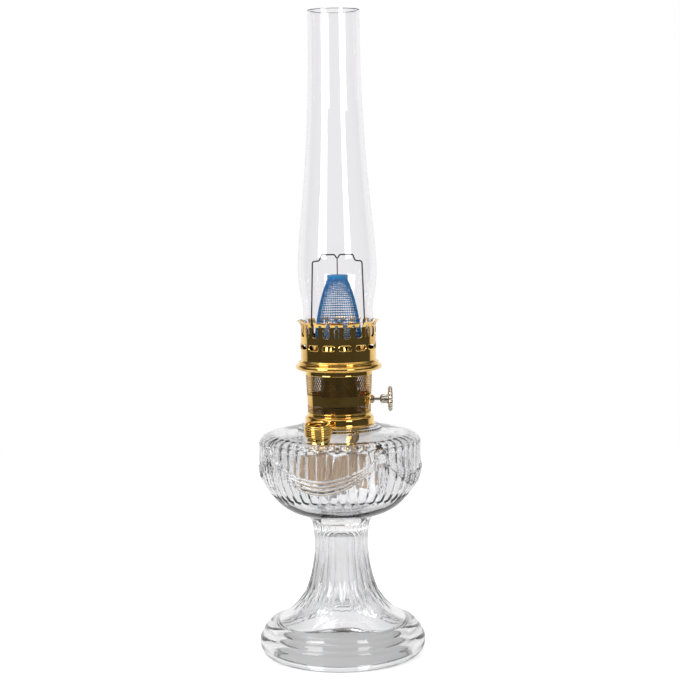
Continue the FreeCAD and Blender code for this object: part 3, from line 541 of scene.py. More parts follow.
@dataclass(frozen=True)
class MetalFinish:
    """Metal with cloudy tarnish and rubbing marks."""

    name: str
    bright: Colour
    dull: Colour
    smooth_roughness: float
    dull_roughness: float
    cloud_scale: float = 60.0
    metallic: float = 1.0

    def make(self, marks: Tree) -> bpy.types.Material:
        """Builds the material with the shared group of handling marks."""
        board = Board(self.name, Metallic=self.metallic)
        group = board.group(marks, Cloud_Scale=self.cloud_scale, Rub_Scale=RUB_SCALE)
        tarnish = group["Tarnish"]
        board.feed("Base Color", colour_mix(board.tree, self.bright, self.dull, tarnish))
        board.feed("Roughness", ranged(board.tree, tarnish, 0.0, 1.0, self.smooth_roughness,
                                       self.dull_roughness))
        board.bump(group["Rub"], 0.06, 0.1 * MM)
        return board.material


@dataclass(frozen=True)
class ClothFinish:
    """Cotton or knitted yarn."""

    name: str
    light: Colour
    dark: Colour
    yarns: float
    rise: float
    sheen: float = 0.3

    def colour(self, board: Board, tint: Socket) -> Socket:
        """The cloth's cloudy colour."""
        return colour_mix(board.tree, self.dark, self.light, tint)

    def make(self, weave: Tree) -> bpy.types.Material:
        """Builds the material with the shared group of crossing yarns."""
        board = Board(self.name, Roughness=0.85, Sheen_Weight=self.sheen, Sheen_Roughness=0.5)
        group = board.group(weave, Yarns=self.yarns)
        board.feed("Base Color", self.colour(board, group["Tint"]))
        board.bump(group["Height"], self.rise, 0.25 * MM)
        return board.material


@dataclass(frozen=True)
class MantleFinish(ClothFinish):
    """Knitted mantle: deep blue near its collar, paler towards its open foot."""

    pale: Colour = (0.04, 0.36, 0.80)
    pale_height: float = 312.0
    deep_height: float = 366.0

    def colour(self, board: Board, tint: Socket) -> Socket:
        """The cloth's colour, mixed with the pale one towards its foot."""
        height = put(board.tree, "SeparateXYZ", {"Vector": board.place()}).outputs["Z"]
        share = ranged(board.tree, height, self.pale_height * MM, self.deep_height * MM)
        return colour_mix(board.tree, self.pale, super().colour(board, tint), share)

class Finishes:
    """All the lamp's materials, each built once."""

    def __init__(self) -> None:
        """Builds the shared groups and the materials."""
        marks = handling_group()
        weave = weave_group()
        self.pressed_glass = GlassFinish("pressed_glass", (0.975, 0.975, 0.982), 40.0, 0.10).make()
        self.blown_glass = GlassFinish("blown_glass", (0.992, 0.986, 1.0), 18.0, 0.03, ior=1.47).make()
        self.brass = MetalFinish("polished_brass", (0.90, 0.59, 0.17), (0.66, 0.38, 0.09),
                                 0.04, 0.13).make(marks)
        # A dark copy of the polished brass: painted shade for the parts deep inside the burner and the
        # gallery, where little light reaches.
        self.inner_brass = MetalFinish("inner_brass", (0.20, 0.12, 0.05), (0.10, 0.055, 0.025),
                                       0.3, 0.5).make(marks)
        self.nickel = MetalFinish("worn_nickel", (0.70, 0.66, 0.60), (0.55, 0.40, 0.20),
                                  0.14, 0.32, 110.0).make(marks)
        self.steel = MetalFinish("drawn_steel", (0.56, 0.55, 0.53), (0.36, 0.34, 0.32),
                                 0.25, 0.45).make(marks)
        self.black_wire = MetalFinish("black_wire", (0.012, 0.012, 0.014), (0.03, 0.027, 0.025),
                                      0.5, 0.7, metallic=0.0).make(marks)
        self.mantle = MantleFinish("blue_mantle", (0.02, 0.46, 0.97), (0.01, 0.22, 0.66),
                                   1400.0, 0.6).make(weave)
        self.cotton = ClothFinish("cotton_wick", (0.93, 0.73, 0.54), (0.74, 0.55, 0.39),
                                  420.0, 0.8).make(weave)
        self.cork = ClothFinish("pressed_cork", (0.45, 0.30, 0.19), (0.27, 0.17, 0.10),
                                600.0, 0.5, 0.0).make(weave)


# ---------------------------------------------------------------- the lamp's pieces


@dataclass
class Foot:
    """Pressed glass foot: ridged base, dome and fluted stem over a hollow."""

    radius: float = 80.4
    rest_radius: float = 73.0
    grooves: tuple[Point, ...] = ((77.7, 21.2), (73.6, 27.6), (67.0, 33.0))
    flare: Point = (33.2, 66.8)
    waist: Point = (26.3, 102.6)
    shoulder: Point = (28.3, 130.8)
    top: Point = (34.0, 137.5)
    wall: float = 7.6
    hollow_radius: float = 18.3
    hollow_height: float = 118.0
    flutes: int = 24
    flute_depth: float = 1.15
    run_out: float = 47.0
    point: float = 13.0              # length of the pointed end of a flute
    fade_low: float = 16.0
    fade_high: float = 6.0
    past_shoulder: float = 3.5
    skin_radius: float = 25.2        # what lies beyond it is the outside of the stem
    skin_height: float = 66.0
    skin_slope: float = 0.2

    def chain(self) -> list[Point]:
        """The outline from the axis down the outside and up the hollow, back to the axis."""
        steps: list[Point | float] = [(self.rest_radius, 0), -Bow.RIDGE.value, (self.radius, 10.5),
                                      (self.radius, 15.0)]
        for groove in self.grooves:
            steps += [-Bow.RIDGE.value * 1.15, groove]
        steps += [Bow.DOME.value, self.flare, Bow.STEM.value, self.waist, Bow.STEM.value,
                  self.shoulder, self.top, (0, self.top[1] - 0.02)]
        outside = evenly(outline(*steps, pieces=9), 3.0)
        knee = (self.grooves[-1][0] - self.wall, self.grooves[-1][1] - self.wall / 2)
        inside = outline((0, self.hollow_height + 5.5), 0.07, (self.hollow_radius, self.hollow_height),
                         (self.hollow_radius, self.waist[1]), -Bow.STEM.value,
                         (self.flare[0] - self.wall, self.flare[1] - self.wall / 2),
                         -Bow.DOME.value, knee, 0.06, (66.0, 5.2), (66.0, 0), pieces=10)
        return outside[::-1] + evenly(inside[::-1], 5.0)

    def relief(self, r: np.ndarray, turn: np.ndarray, z: np.ndarray) -> tuple:
        """Cuts the flutes, which run out in points on the dome."""
        share = (turn / FULL_TURN * self.flutes) % 1.0
        across = 2 * share - 1
        low = np.clip((z - self.run_out + self.point * across ** 2) / self.fade_low, 0, 1)
        high = np.clip((self.shoulder[1] + self.past_shoulder - z) / self.fade_high, 0, 1)
        outer = (z > self.grooves[-1][1]) & (z < self.top[1] - 0.5)
        outer &= r > self.skin_radius + np.maximum(0, self.skin_height - z) * self.skin_slope
        scallop = (1 - across ** 2) * self.flute_depth * low * high
        return np.where(outer, r - scallop, r), turn, z

    def build(self, finishes: Finishes) -> None:
        """Models and dresses the foot."""
        foot = lathe("foot_glass", self.chain(), 288, closed=False)
        shaped(foot, self.relief)
        smooth(foot, 34)
        settle(foot, finishes.pressed_glass, Way.LAMP, "pressed_glass", "glass_foot")


@dataclass
class Font:
    """Pressed glass font with flutes, rope swags, knots and tassels."""

    base: Point = (35.0, 137.52)
    belly: Point = (66.0, 157.0)
    wall_low: Point = (78.3, 190.0)
    wall_high: Point = (78.3, 208.5)
    shoulder: Point = (73.2, 214.6)
    step: Point = (70.0, 216.2)
    neck_foot: Point = (41.0, 221.2)
    neck: Point = (36.5, 223.2)
    neck_top: float = 225.3
    mouth: float = 29.0
    glass: float = 4.2
    flutes: int = 48
    flute_depth: float = 1.2
    flute_phase: float = -1.9
    knot_angle: float = 30.0
    knot_height: float = 203.0
    swag_height: float = 175.2
    swag_width: float = 14.4
    ropes: int = 4
    proud: float = 80.2              # no relief stands further out
    floor_edge: Point = (33.5, 6.0)  # of the reservoir, above the base
    floor_middle: float = 5.7
    arch_height: float = 207.4
    arch_rise: float = 3.6
    sag_power: float = 1.9
    rope_rise: float = 1.25
    tassel_drop: float = 3.0         # below the knot
    tassel_length: float = 32.0
    lobe_rise: float = 1.7
    lobes: tuple[tuple[float, float, float], ...] = (
        (-3.6, 1.6, 3.0), (3.6, 1.6, 3.0), (0, 0.2, 2.4), (-2.0, -3.2, 2.3), (2.0, -3.2, 2.3),
        (-1.8, 5.0, 2.2), (2.0, 5.0, 2.2))

    def chain(self) -> list[Point]:
        """The closed outline of outer and inner wall."""
        low = evenly(outline((0, self.base[1]), self.base, -Bow.BELLY.value, self.belly,
                             pieces=10), 6.0)
        ribbed = evenly(outline(self.belly, -Bow.SIDE.value, self.wall_low, self.wall_high,
                                -Bow.SHOULDER.value, self.shoulder, pieces=24), 0.7)
        top = outline(self.shoulder, self.step, -Bow.CROWN.value, self.neck_foot,
                      (self.neck_foot[0], self.neck[1]), self.neck, (self.neck[0], self.neck_top),
                      (self.mouth, self.neck_top), pieces=10)
        inner = self.wall_low[0] - self.glass
        inside = outline((self.mouth, self.neck_top), (self.mouth, self.neck_foot[1] - self.glass),
                         Bow.CROWN.value,
                         (self.shoulder[0] - self.glass / 2, self.shoulder[1] - self.glass),
                         Bow.SHOULDER.value, (inner, self.wall_high[1] - self.glass),
                         (inner, self.wall_low[1]), Bow.SIDE.value,
                         (self.belly[0] - self.glass, self.belly[1] + self.glass / 2),
                         Bow.BELLY.value,
                         (self.floor_edge[0], self.base[1] + self.floor_edge[1]),
                         (0, self.base[1] + self.floor_middle), pieces=7)
        return low + ribbed[1:] + top[1:] + inside[1:]

    def relief(self, r: np.ndarray, turn: np.ndarray, z: np.ndarray) -> tuple:
        """Flutes with arched ends, four swags of ropes, their knots and tassels."""
        degrees = np.degrees(turn)
        outer = (z >= self.belly[1] - 0.1) & (z <= self.shoulder[1] - 1.2)
        outer &= r > np.interp(z, [150, 157, 190, 215], [58.0, 63.0, 75.6, 69.0])
        across = 2 * (((degrees - self.flute_phase) * self.flutes / 360) % 1.0) - 1
        arch = np.sqrt(np.clip(1 - across ** 2, 0, 1))
        top = np.clip(self.arch_height + self.arch_rise * arch - z, 0, 1)
        low = np.clip((z - self.belly[1] - 2.4 * (1 - arch)) / 2.2, 0, 1)
        height = -self.flute_depth * (1 - across ** 2) * top * low

        along = ((degrees - self.knot_angle) / 90.0) % 1.0
        sag = np.abs(2 * along - 1) ** self.sag_power
        middle = self.swag_height + (self.knot_height - self.swag_height) * sag
        spread = self.swag_width * (0.30 + 0.70 * (1 - sag))
        place = (z - middle) / spread + 0.5
        inside = (place > 0) & (place < 1)
        rope = 2 * ((place * self.ropes) % 1.0) - 1
        ropes = self.rope_rise * np.sqrt(np.clip(1 - rope ** 2, 0, 1)) - 0.15
        height = np.where(inside, np.maximum(height, ropes), height)

        side = (along + 0.5) % 1.0 - 0.5
        reach = side * math.radians(90) * 77.0
        drop = (self.knot_height - self.tassel_drop - z) / self.tassel_length
        half = 1.2 + 3.3 * np.sin(np.clip(drop, 0, 1) * math.pi) ** 0.8 + 1.2 * (drop < 0.5)
        fold = 0.95 + 0.45 * np.cos(reach / np.maximum(half, 0.5) * math.pi * 2.5)
        tassel = (drop > 0) & (drop < 1) & (np.abs(reach) < half)
        height = np.where(tassel, np.maximum(height, fold), height)
        for shift, rise, size in self.lobes:
            gone = ((reach - shift) ** 2 + (z - self.knot_height - rise) ** 2) / size ** 2
            lobe = self.lobe_rise * np.sqrt(np.clip(1 - gone, 0, 1)) - 0.1
            height = np.where(gone < 1, np.maximum(height, lobe), height)
        return np.where(outer, r + np.minimum(height, self.proud - r), r), turn, z

    def build(self, finishes: Finishes) -> None:
        """Models and dresses the font."""
        font = lathe("font_glass", self.chain(), 576, closed=False)
        shaped(font, self.relief)
        smooth(font, 42)
        settle(font, finishes.pressed_glass, Way.LAMP, "pressed_glass", "glass_font")


@dataclass
class Filler:
    """Brass filler cap with rolled threads and a dished top, on its neck."""

    x: float = -19.7
    y: float = -47.0
    lean: float = 8.0
    seat: float = 218.4
    skirt_low: float = 3.6
    cap_radius: float = 13.4
    cap_top: float = 14.2
    beads: int = 4

    def place(self) -> Matrix:
        """Matrix from the upright piece at the axis to the boss."""
        away = Vector((self.x, self.y, 0)).normalized()
        axle = Vector((0, 0, 1)).cross(away)
        return (Matrix.Translation(Vector((self.x, self.y, self.seat)) * MM)
                @ Matrix.Rotation(math.radians(self.lean), 4, axle))

    def cap_chain(self) -> list[Point]:
        """The closed outline of the cap."""
        low, groove = self.skirt_low, self.cap_radius - 1.05
        bead = (self.cap_top - 1.5 - low) / self.beads
        steps: list[Point | float] = [(11.55, low), (groove, low)]
        for i in range(self.beads):
            steps += [-0.42, (groove, low + (i + 1) * bead)]
        steps += [-0.1, (12.2, self.cap_top - 0.2), -0.12, (11.2, self.cap_top), -0.1,
                  (10.0, self.cap_top - 0.3), 0.14, (8.6, self.cap_top - 1.5), 0.05,
                  (0.01, self.cap_top - 1.3), (0.01, 12.36), (11.55, 12.36)]
        return outline(*steps, pieces=5)

    def build(self, finishes: Finishes) -> None:
        """Models and dresses the cap, its neck and the gasket."""
        cap = lathe("screw_cap", self.cap_chain(), 96, angle=50)
        settle(placed(cap, self.place()), finishes.brass, Way.CAP, "polished_brass", "filler_cap")
        neck = lathe("filler_neck_ring", outline(
            (10.2, -4.4), (11.2, -4.4), (11.2, 2.6), (12.0, 2.6), -0.2, (12.0, 3.3), (11.2, 3.35),
            (11.2, 11.0), (10.2, 11.0)), 64)
        settle(placed(neck, self.place()), finishes.brass, Way.LAMP, "polished_brass", "filler_neck")
        gasket = lathe("filler_cork", outline(
            (10.2, 11.02), (11.2, 11.02), (11.2, 12.3), (10.2, 12.3)), 64)
        settle(placed(gasket, self.place()), finishes.cork, Way.GASKET, "cork", "filler_gasket")


@dataclass
class Burner:
    """Collar, base, perforated basket and rim of the burner."""

    neck_top: float = 225.3
    base_top: float = 236.4
    basket_low_radius: float = 30.3
    basket_high_radius: float = 32.0
    basket_top: float = 273.9
    rim_radius: float = 32.25
    rim_top: float = 281.0
    sheet: float = 0.35
    hole_pitch: float = 2.58
    hole_radius: float = 0.98
    row_pitch: float = 2.45
    high_rows: int = 8
    low_rows: int = 3
    weld: float = 0.02

    def basket_sheet(self) -> Piece:
        """The basket's wall: plain bands and bands of round holes, rolled into a cone."""
        middle_radius = (self.basket_low_radius + self.basket_high_radius) / 2
        count = round(FULL_TURN * middle_radius / self.hole_pitch)
        low_start = self.base_top + 1.3
        high_start = self.basket_top - 0.15 - self.high_rows * self.row_pitch
        deselect()
        bpy.ops.mesh.primitive_circle_add(vertices=8, radius=self.hole_radius * MM)
        cell = bpy.context.object
        cell.name = "basket_wall"
        cell.data.transform(Matrix.Rotation(math.radians(22.5), 4, "Z"))
        edit(cell)
        bpy.ops.mesh.extrude_edges_move()
        mesh = bmesh.from_edit_mesh(cell.data)
        half = (self.hole_pitch / 2 * MM, self.row_pitch / 2 * MM)
        for vert in mesh.verts:
            if vert.select:
                reach = max(abs(vert.co.x) / half[0], abs(vert.co.y) / half[1])
                vert.co = Vector((vert.co.x / reach, vert.co.y / reach, 0))
                vert.co.x = round(vert.co.x / half[0] * 2) / 2 * half[0]
                vert.co.y = round(vert.co.y / half[1] * 2) / 2 * half[1]
        bmesh.update_edit_mesh(cell.data)
        bpy.ops.object.mode_set(mode="OBJECT")
        strips = [self.hole_rows(cell, count, low_start, self.low_rows, 0),
                  self.hole_rows(cell, count, high_start, self.high_rows, 1)]
        bpy.data.objects.remove(cell)
        for low, high in ((self.base_top, low_start),
                          (low_start + self.low_rows * self.row_pitch, high_start),
                          (high_start + self.high_rows * self.row_pitch, self.basket_top)):
            strips.append(self.plain_band(count, low, high))
        wall = joined(strips)
        edit(wall)
        bpy.ops.mesh.remove_doubles(threshold=self.weld * MM)
        bpy.ops.object.mode_set(mode="OBJECT")
        return self.rolled(wall, count)

    def hole_rows(self, cell: Piece, count: int, low: float, rows: int,
                  odd: int) -> Piece:
        """Copies of the pierced cell in rows, every other row shifted by half a pitch.

        Args:
            cell: One cell with its hole, flat round the origin.
            count: Cells round the basket.
            low: Height of the lowest row's lower edge.
            rows: Number of rows.
            odd: 1 shifts the odd rows, 0 the even ones.

        Returns:
            The rows as one flat mesh, with heights along Y.
        """
        made = []
        for row in range(rows):
            strip = cell.copy()
            strip.data = cell.data.copy()
            bpy.context.collection.objects.link(strip)
            shift = self.hole_pitch / 2 if row % 2 == odd else 0.0
            strip.data.transform(Matrix.Translation(
                Vector((shift, low + (row + 0.5) * self.row_pitch, 0)) * MM))
            repeat = strip.modifiers.new("round", "ARRAY")
            repeat.count = count
            repeat.use_relative_offset = False
            repeat.use_constant_offset = True
            repeat.constant_offset_displace = (self.hole_pitch * MM, 0, 0)
            finish_modifiers(strip)
            made.append(strip)
        return joined(made)

    def plain_band(self, count: int, low: float, high: float) -> Piece:
        """A band with no holes, in line with the cells."""
        deselect()
        width = count * self.hole_pitch
        bpy.ops.mesh.primitive_grid_add(x_subdivisions=count * 2, y_subdivisions=1, size=1)
        band = bpy.context.object
        band.data.transform(Matrix.Translation(Vector(((width - self.hole_pitch) / 2 * MM,
                                                       (low + high) / 2 * MM, 0)))
                            @ Matrix.Diagonal((width * MM, (high - low) * MM, 1, 1)))
        return band

    def rolled(self, wall: Piece, count: int) -> Piece:
        """Rolls the flat wall into the basket's cone and gives it thickness."""
        x, z, _ = points_of(wall)
        turn = x / (count * self.hole_pitch) * FULL_TURN
        share = (z - self.base_top) / (self.basket_top - self.base_top)
        r = self.basket_low_radius + (self.basket_high_radius - self.basket_low_radius) * share
        set_points(wall, r * np.cos(turn), r * np.sin(turn), z)
        clean(wall, self.weld)
        face = wall.data.polygons[0]
        outward = face.normal.x * face.center.x + face.normal.y * face.center.y > 0
        thicken(wall, self.sheet, -1.0 if outward else 1.0)
        smooth(wall, 40)
        return wall

    def build(self, finishes: Finishes) -> None:
        """Models and dresses the burner's pieces."""
        low = self.neck_top
        base = lathe("burner_skirt", outline(
            (33.0, low), (34.45, low), -0.25, (34.3, low + 0.95), 0.2, (33.35, low + 1.7),
            (33.2, low + 2.2), (33.2, 230.4), -0.20, (31.1, 234.0), 0.22, (30.45, 235.2),
            (30.3, self.base_top), (29.7, self.base_top), (30.2, 234.4), 0.1, (32.6, 230.4),
            (32.6, low + 1.2), pieces=7), 128)
        settle(base, finishes.brass, Way.LAMP, "polished_brass", "burner_base")
        wall = self.basket_sheet()
        settle(wall, finishes.brass, Way.LAMP, "polished_brass", "burner_basket")
        low_radius = self.basket_low_radius
        bead = lathe("basket_bead", outline(
            (low_radius, self.base_top + 0.1), -0.5, (low_radius, self.base_top + 1.35),
            (low_radius - 0.2, self.base_top + 1.35), (low_radius - 0.2, self.base_top + 0.1),
            pieces=8), 128)
        settle(bead, finishes.brass, Way.LAMP, "polished_brass")
        rim = lathe("basket_ring", evenly(outline(
            (31.15, self.basket_top), (32.1, self.basket_top), -0.2,
            (self.rim_radius, self.basket_top + 0.7), (self.rim_radius, self.rim_top - 0.3), -0.2,
            (31.9, self.rim_top), (31.15, self.rim_top)), 0.7), 128)
        settle(rim, finishes.brass, Way.LAMP, "polished_brass", "basket_rim")
        collar = lathe("font_thread_collar", outline(
            (28.1, 216.3), (29.0, 216.3), (29.0, low), (32.2, low), -0.2, (32.2, low + 0.8),
            (28.1, low + 0.8)), 96)
        settle(collar, finishes.brass, Way.LAMP, "polished_brass", "font_collar")


@dataclass
class Gallery:
    """Brass gallery: pierced band, crown of T-prongs, beaded flange and the mantle's seat."""

    band_radius: float = 36.2
    sheet: float = 0.6
    band_low: float = 288.0
    crown_high: float = 325.6
    crown_bend: float = 318.5
    crown_radius: float = 39.4
    prongs: int = 14
    phase: float = -2.4
    stem: float = 4.6
    tip: float = 13.2
    tip_low: float = 321.0
    eye: float = 3.2
    panel: float = 13.2
    window_low: float = 310.4
    tongue: float = 2.8
    tongue_slot: float = 1.2
    tongue_low: float = 311.2
    tongue_high: float = 320.4
    slot_height: float = 301.4
    slot_length: float = 12.0
    slot_width: float = 4.8

    def cutter(self, width: float, low: float, high: float, rounding: float,
               degrees: float) -> Piece:
        """A radial bar with rounded corners that pierces the band.

        Args:
            width: Width along the band in millimetres.
            low: Lower height.
            high: Upper height.
            rounding: Radius of the corners.
            degrees: Angle right of the front.

        Returns:
            The cutter, in place.
        """
        bar = block(0, (37.5, 0, (low + high) / 2), (7, width, high - low))
        bpy.ops.object.mode_set(mode="EDIT")
        mesh = bmesh.from_edit_mesh(bar.data)
        for edge in mesh.edges:
            way = edge.verts[0].co - edge.verts[1].co
            edge.select_set(abs(way.x) > abs(way.y) + abs(way.z))
        mesh.select_flush(True)
        bmesh.update_edit_mesh(bar.data)
        radius = min(rounding, width * 0.495, (high - low) * 0.495)
        bpy.ops.mesh.bevel(offset=radius * MM, segments=5, affect="EDGES")
        bpy.ops.object.mode_set(mode="OBJECT")
        return placed(bar, Matrix.Rotation(FRONT + math.radians(degrees), 4, "Z"))

    def cutters(self) -> Piece:
        """Every opening of the band and crown as one object."""
        pitch = 360 / self.prongs
        arc_length = math.radians(pitch) * self.band_radius
        window = arc_length - (self.panel + self.stem) / 2
        slit = math.radians(pitch) * self.crown_radius - self.tip
        per_mm = math.degrees(1 / self.band_radius)
        half_slot = self.slot_width / 2
        window_reach = (self.stem + window) / 2 * per_mm
        tongue_reach = (self.tongue + self.tongue_slot) / 2 * per_mm
        bars = []
        for i in range(self.prongs):
            middle = self.phase + i * pitch
            between = middle + pitch / 2
            bars += [(slit, self.tip_low - 0.6, self.crown_high + slit, 1.2, between),
                     (self.eye, self.tip_low - 0.2, self.tip_low + 2.3, self.eye / 2, middle),
                     (self.slot_length, self.slot_height - half_slot, self.slot_height + half_slot,
                      half_slot, between)]
            for side in (-1, 1):
                if i % 2:
                    bars.append((window, self.window_low, self.tip_low, 2.6,
                                 middle + side * window_reach))
                else:
                    bars.append((self.tongue_slot, self.tongue_low, self.tongue_high, 0.6,
                                 middle + side * tongue_reach))
            if not i % 2:
                bars.append((self.tongue + self.tongue_slot, self.tongue_high - 0.9,
                             self.tongue_high + 0.3, 0.5, middle))
        return joined([self.cutter(*bar) for bar in bars])

    def crown(self) -> Piece:
        """The pierced band with its crown of prongs."""
        inner = self.band_radius - self.sheet
        steps = outline((inner, self.band_low), (self.band_radius, self.band_low),
                        (self.band_radius, self.crown_bend), 0.13, (self.crown_radius, self.crown_high),
                        (self.crown_radius - self.sheet, self.crown_high), -0.13,
                        (inner, self.crown_bend), pieces=6)
        band = lathe("gallery_crown", steps, 196)
        tool = self.cutters()
        cut = band.modifiers.new("pierce", "BOOLEAN")
        cut.operation = "DIFFERENCE"
        cut.solver = "MANIFOLD"
        cut.object = tool
        finish_modifiers(band)
        bpy.data.objects.remove(tool)
        tabs = [block(self.between(i), (33.95, 0, 304.1), (3.5, 8, 0.58)) for i in range(self.prongs)]
        band = joined([band, *tabs])
        smooth(band, 30)
        return joined([band, *self.slot_rims()])

    def between(self, i: int) -> float:
        """Angle of the middle between prong i and the next, in radians."""
        return FRONT + math.radians(self.phase + (i + 0.5) * 360 / self.prongs)

    def slot_rims(self) -> list[Piece]:
        """The pressed rims round the slots of the band."""
        rims = []
        straight, half = (self.slot_length - self.slot_width) / 2, self.slot_width / 2 + 0.25
        for i in range(self.prongs):
            middle = self.between(i)
            points = []
            for step in range(24):
                turn = FULL_TURN * (step + 0.5) / 24
                along = math.copysign(straight, math.cos(turn)) + half * math.cos(turn)
                at = middle + along / self.band_radius
                points.append((self.band_radius * math.cos(at), self.band_radius * math.sin(at),
                               self.slot_height + half * math.sin(turn)))
            rims.append(rod("slot_rim", points, 0.42, 1, cyclic=True))
        return rims

    def build(self, finishes: Finishes) -> None:
        """Models and dresses the gallery's pieces."""
        settle(self.crown(), finishes.brass, Way.GALLERY, "polished_brass", "gallery")
        flange = lathe("gallery_beads", outline(
            (32.6, 279.05), (39.0, 279.05), -0.25, (40.6, 279.9), -0.32, (40.9, 282.9), -0.12,
            (39.4, 283.9), 0.30, (38.2, 284.2), 0.2, (37.9, 284.6), -0.38, (37.6, 287.0), 0.1,
            (36.6, 287.5), (36.2, 288.0), (35.6, 288.0), (35.6, 281.95), (32.6, 281.3), pieces=7), 160)
        settle(flange, finishes.brass, Way.GALLERY, "polished_brass", "gallery_flange")
        seat = lathe("mantle_cone", outline(
            (29.6, 281.35), (35.55, 281.35), (35.55, 281.9), (30.2, 281.9), 0.06, (24.2, 306.0),
            (24.2, 309.0), (23.6, 309.0), (23.6, 306.0)), 96)
        # The seat wears the darkened brass: painted shade inside the gallery.
        settle(seat, finishes.brass, Way.GALLERY, "inner_brass", "mantle_seat")


@dataclass
class Mantle:
    """Knitted mantle in its ring, with clips, wire frame and hanger."""

    skirt: float = 22.4
    neck: Point = (9.3, 365.1)
    middle: Point = (16.4, 344.9)
    top: Point = (10.0, 369.2)
    columns: int = 48
    rows: int = 29
    yarn: float = 0.47
    closing: float = 1.5

    def net(self) -> Piece:
        """The knitted cloth: a net of yarns round the mantle's body."""
        side = outline((self.skirt - 0.4, 306.3), (self.skirt - 0.4, 311.0), -0.018,
                       (self.middle[0] - 0.3, self.middle[1]), -0.018,
                       (self.neck[0] - 0.2, self.neck[1]), pieces=12)
        low, high = side[0][1], side[-1][1]
        chain = []
        for row in range(self.rows + 1):
            height = low + (high - low) * (1 - (1 - row / self.rows) ** self.closing)
            chain.append((float(np.interp(height, [z for _, z in side], [r for r, _ in side])), height))
        net = lathe("mantle_knit", chain, self.columns, closed=False)

        def knit(r: np.ndarray, turn: np.ndarray, z: np.ndarray) -> tuple:
            slack = np.clip((z - 335) / 20, 0, 1)
            swing = np.sin(turn * 7 + z * 0.9) + np.sin(turn * 11 - z * 1.3)
            return (r + 0.12 * np.cos(turn * self.columns / 2), turn + 0.012 * swing * slack,
                    z + 0.16 * np.sin(turn * self.columns / 2) + 0.28 * swing * slack)

        shaped(net, knit)
        wire = net.modifiers.new("yarns", "WIREFRAME")
        wire.thickness = self.yarn * 2 * MM
        wire.offset = 0
        wire.use_boundary = True
        wire.use_even_offset = False
        finish_modifiers(net)
        smooth(net, 80)
        return net

    def collar(self) -> Piece:
        """The gathered top of the cloth, closed round the hanger."""
        collar = lathe("mantle_collar", outline(
            (8.6, 363.6), (9.3, 363.6), 0.06, (9.3, 365.6), -0.16, (9.9, 367.0), -0.14,
            (9.6, 368.9), -0.1, (8.6, 369.2), (0.7, 369.0), (0.7, 368.4), (8.4, 368.4),
            (8.9, 367.0), (8.6, 365.0), pieces=6), 96)

        def gather(r: np.ndarray, turn: np.ndarray, z: np.ndarray) -> tuple:
            pull = 0.16 * np.cos(turn * 24) * np.clip((r - 2) / 6, 0, 1)
            return np.minimum(r + pull, 9.98), turn, z

        shaped(collar, gather)
        smooth(collar, 60)
        return collar

    def frame_wire(self) -> Piece:
        """The bent black wire from clip to clip."""
        half = [(25.8, 316.2), (23.8, 380.4), (23.4, 381.6), (22.4, 382.3), (18.2, 382.7),
                (17.2, 383.2), (16.3, 384.9), (15.6, 387.3), (14.9, 388.3), (13.8, 388.6),
                (3.4, 388.6), (2.2, 388.1), (0.8, 385.7)]
        points = [(x, 0.0, z) for x, z in half] + [(0.0, 0.0, 385.3)]
        points += [(-x, 0.0, z) for x, z in reversed(half)]
        return rod("mantle_wire", points, 0.68, 4)

    def build(self, finishes: Finishes) -> None:
        """Models and dresses the mantle's pieces."""
        cloth = joined([self.net(), self.collar()])
        settle(cloth, finishes.mantle, Way.MANTLE, "blue_mantle", "mantle")
        settle(self.frame_wire(), finishes.black_wire, Way.MANTLE, "black_wire", "mantle_frame")
        button = lathe("mantle_button",
                       outline((0, 366.7), (1.2, 366.7), -0.2, (1.2, 368.0), (0, 368.0)), 24)
        hook = joined([rod("mantle_hook", [(0, 0, 366.7), (0, 0, 384.9)], 0.5, 4), button])
        settle(hook, finishes.black_wire, Way.MANTLE, "black_wire", "mantle_hanger")
        ring = lathe("mantle_band", outline(
            (22.5, 304.7), (23.3, 304.7), (23.3, 309.3), (24.2, 309.35), -0.2, (24.2, 309.85),
            (22.5, 309.9)), 96)
        settle(ring, finishes.steel, Way.MANTLE, "steel_shaft", "mantle_ring")
        clip = joined([block(side, place, size) for side in (0.0, math.pi) for place, size in (
            ((23.85, 0, 310.6), (2.7, 3.5, 1.3)), ((24.5, 0, 318.2), (1.3, 3.5, 15.4)))])
        clip.name = "frame_clips"
        round_off = clip.modifiers.new("edges", "BEVEL")
        round_off.width = 0.3 * MM
        round_off.segments = 2
        finish_modifiers(clip)
        smooth(clip, 40)
        settle(clip, finishes.black_wire, Way.MANTLE, "black_wire", "mantle_clips")


@dataclass
class Chimney:
    """Tall clear chimney, blown thin, with a low bulge and a fire-polished rim."""

    wall: float = 1.7
    base: float = 33.35
    top: Point = (24.7, 619.7)

    def build(self, finishes: Finishes) -> None:
        """Models and dresses the chimney."""
        outer = outline((self.base, 304.75), (self.base, 331.0), 0.035, (34.5, 346.5), -0.03,
                        (37.9, 374.5), -0.013, (34.4, 421.6), 0.0113, (24.9, 572.0), 0.002,
                        self.top, pieces=14)
        lip = arc(self.top, (self.top[0] - self.wall, self.top[1]), 0.45, 8)
        inner = [(r - self.wall, z) for r, z in reversed(outer)]
        glass = lathe("chimney_glass", outer + lip[:-1] + inner, 128, angle=60)
        settle(glass, finishes.blown_glass, Way.CHIMNEY, "chimney_glass", "chimney")


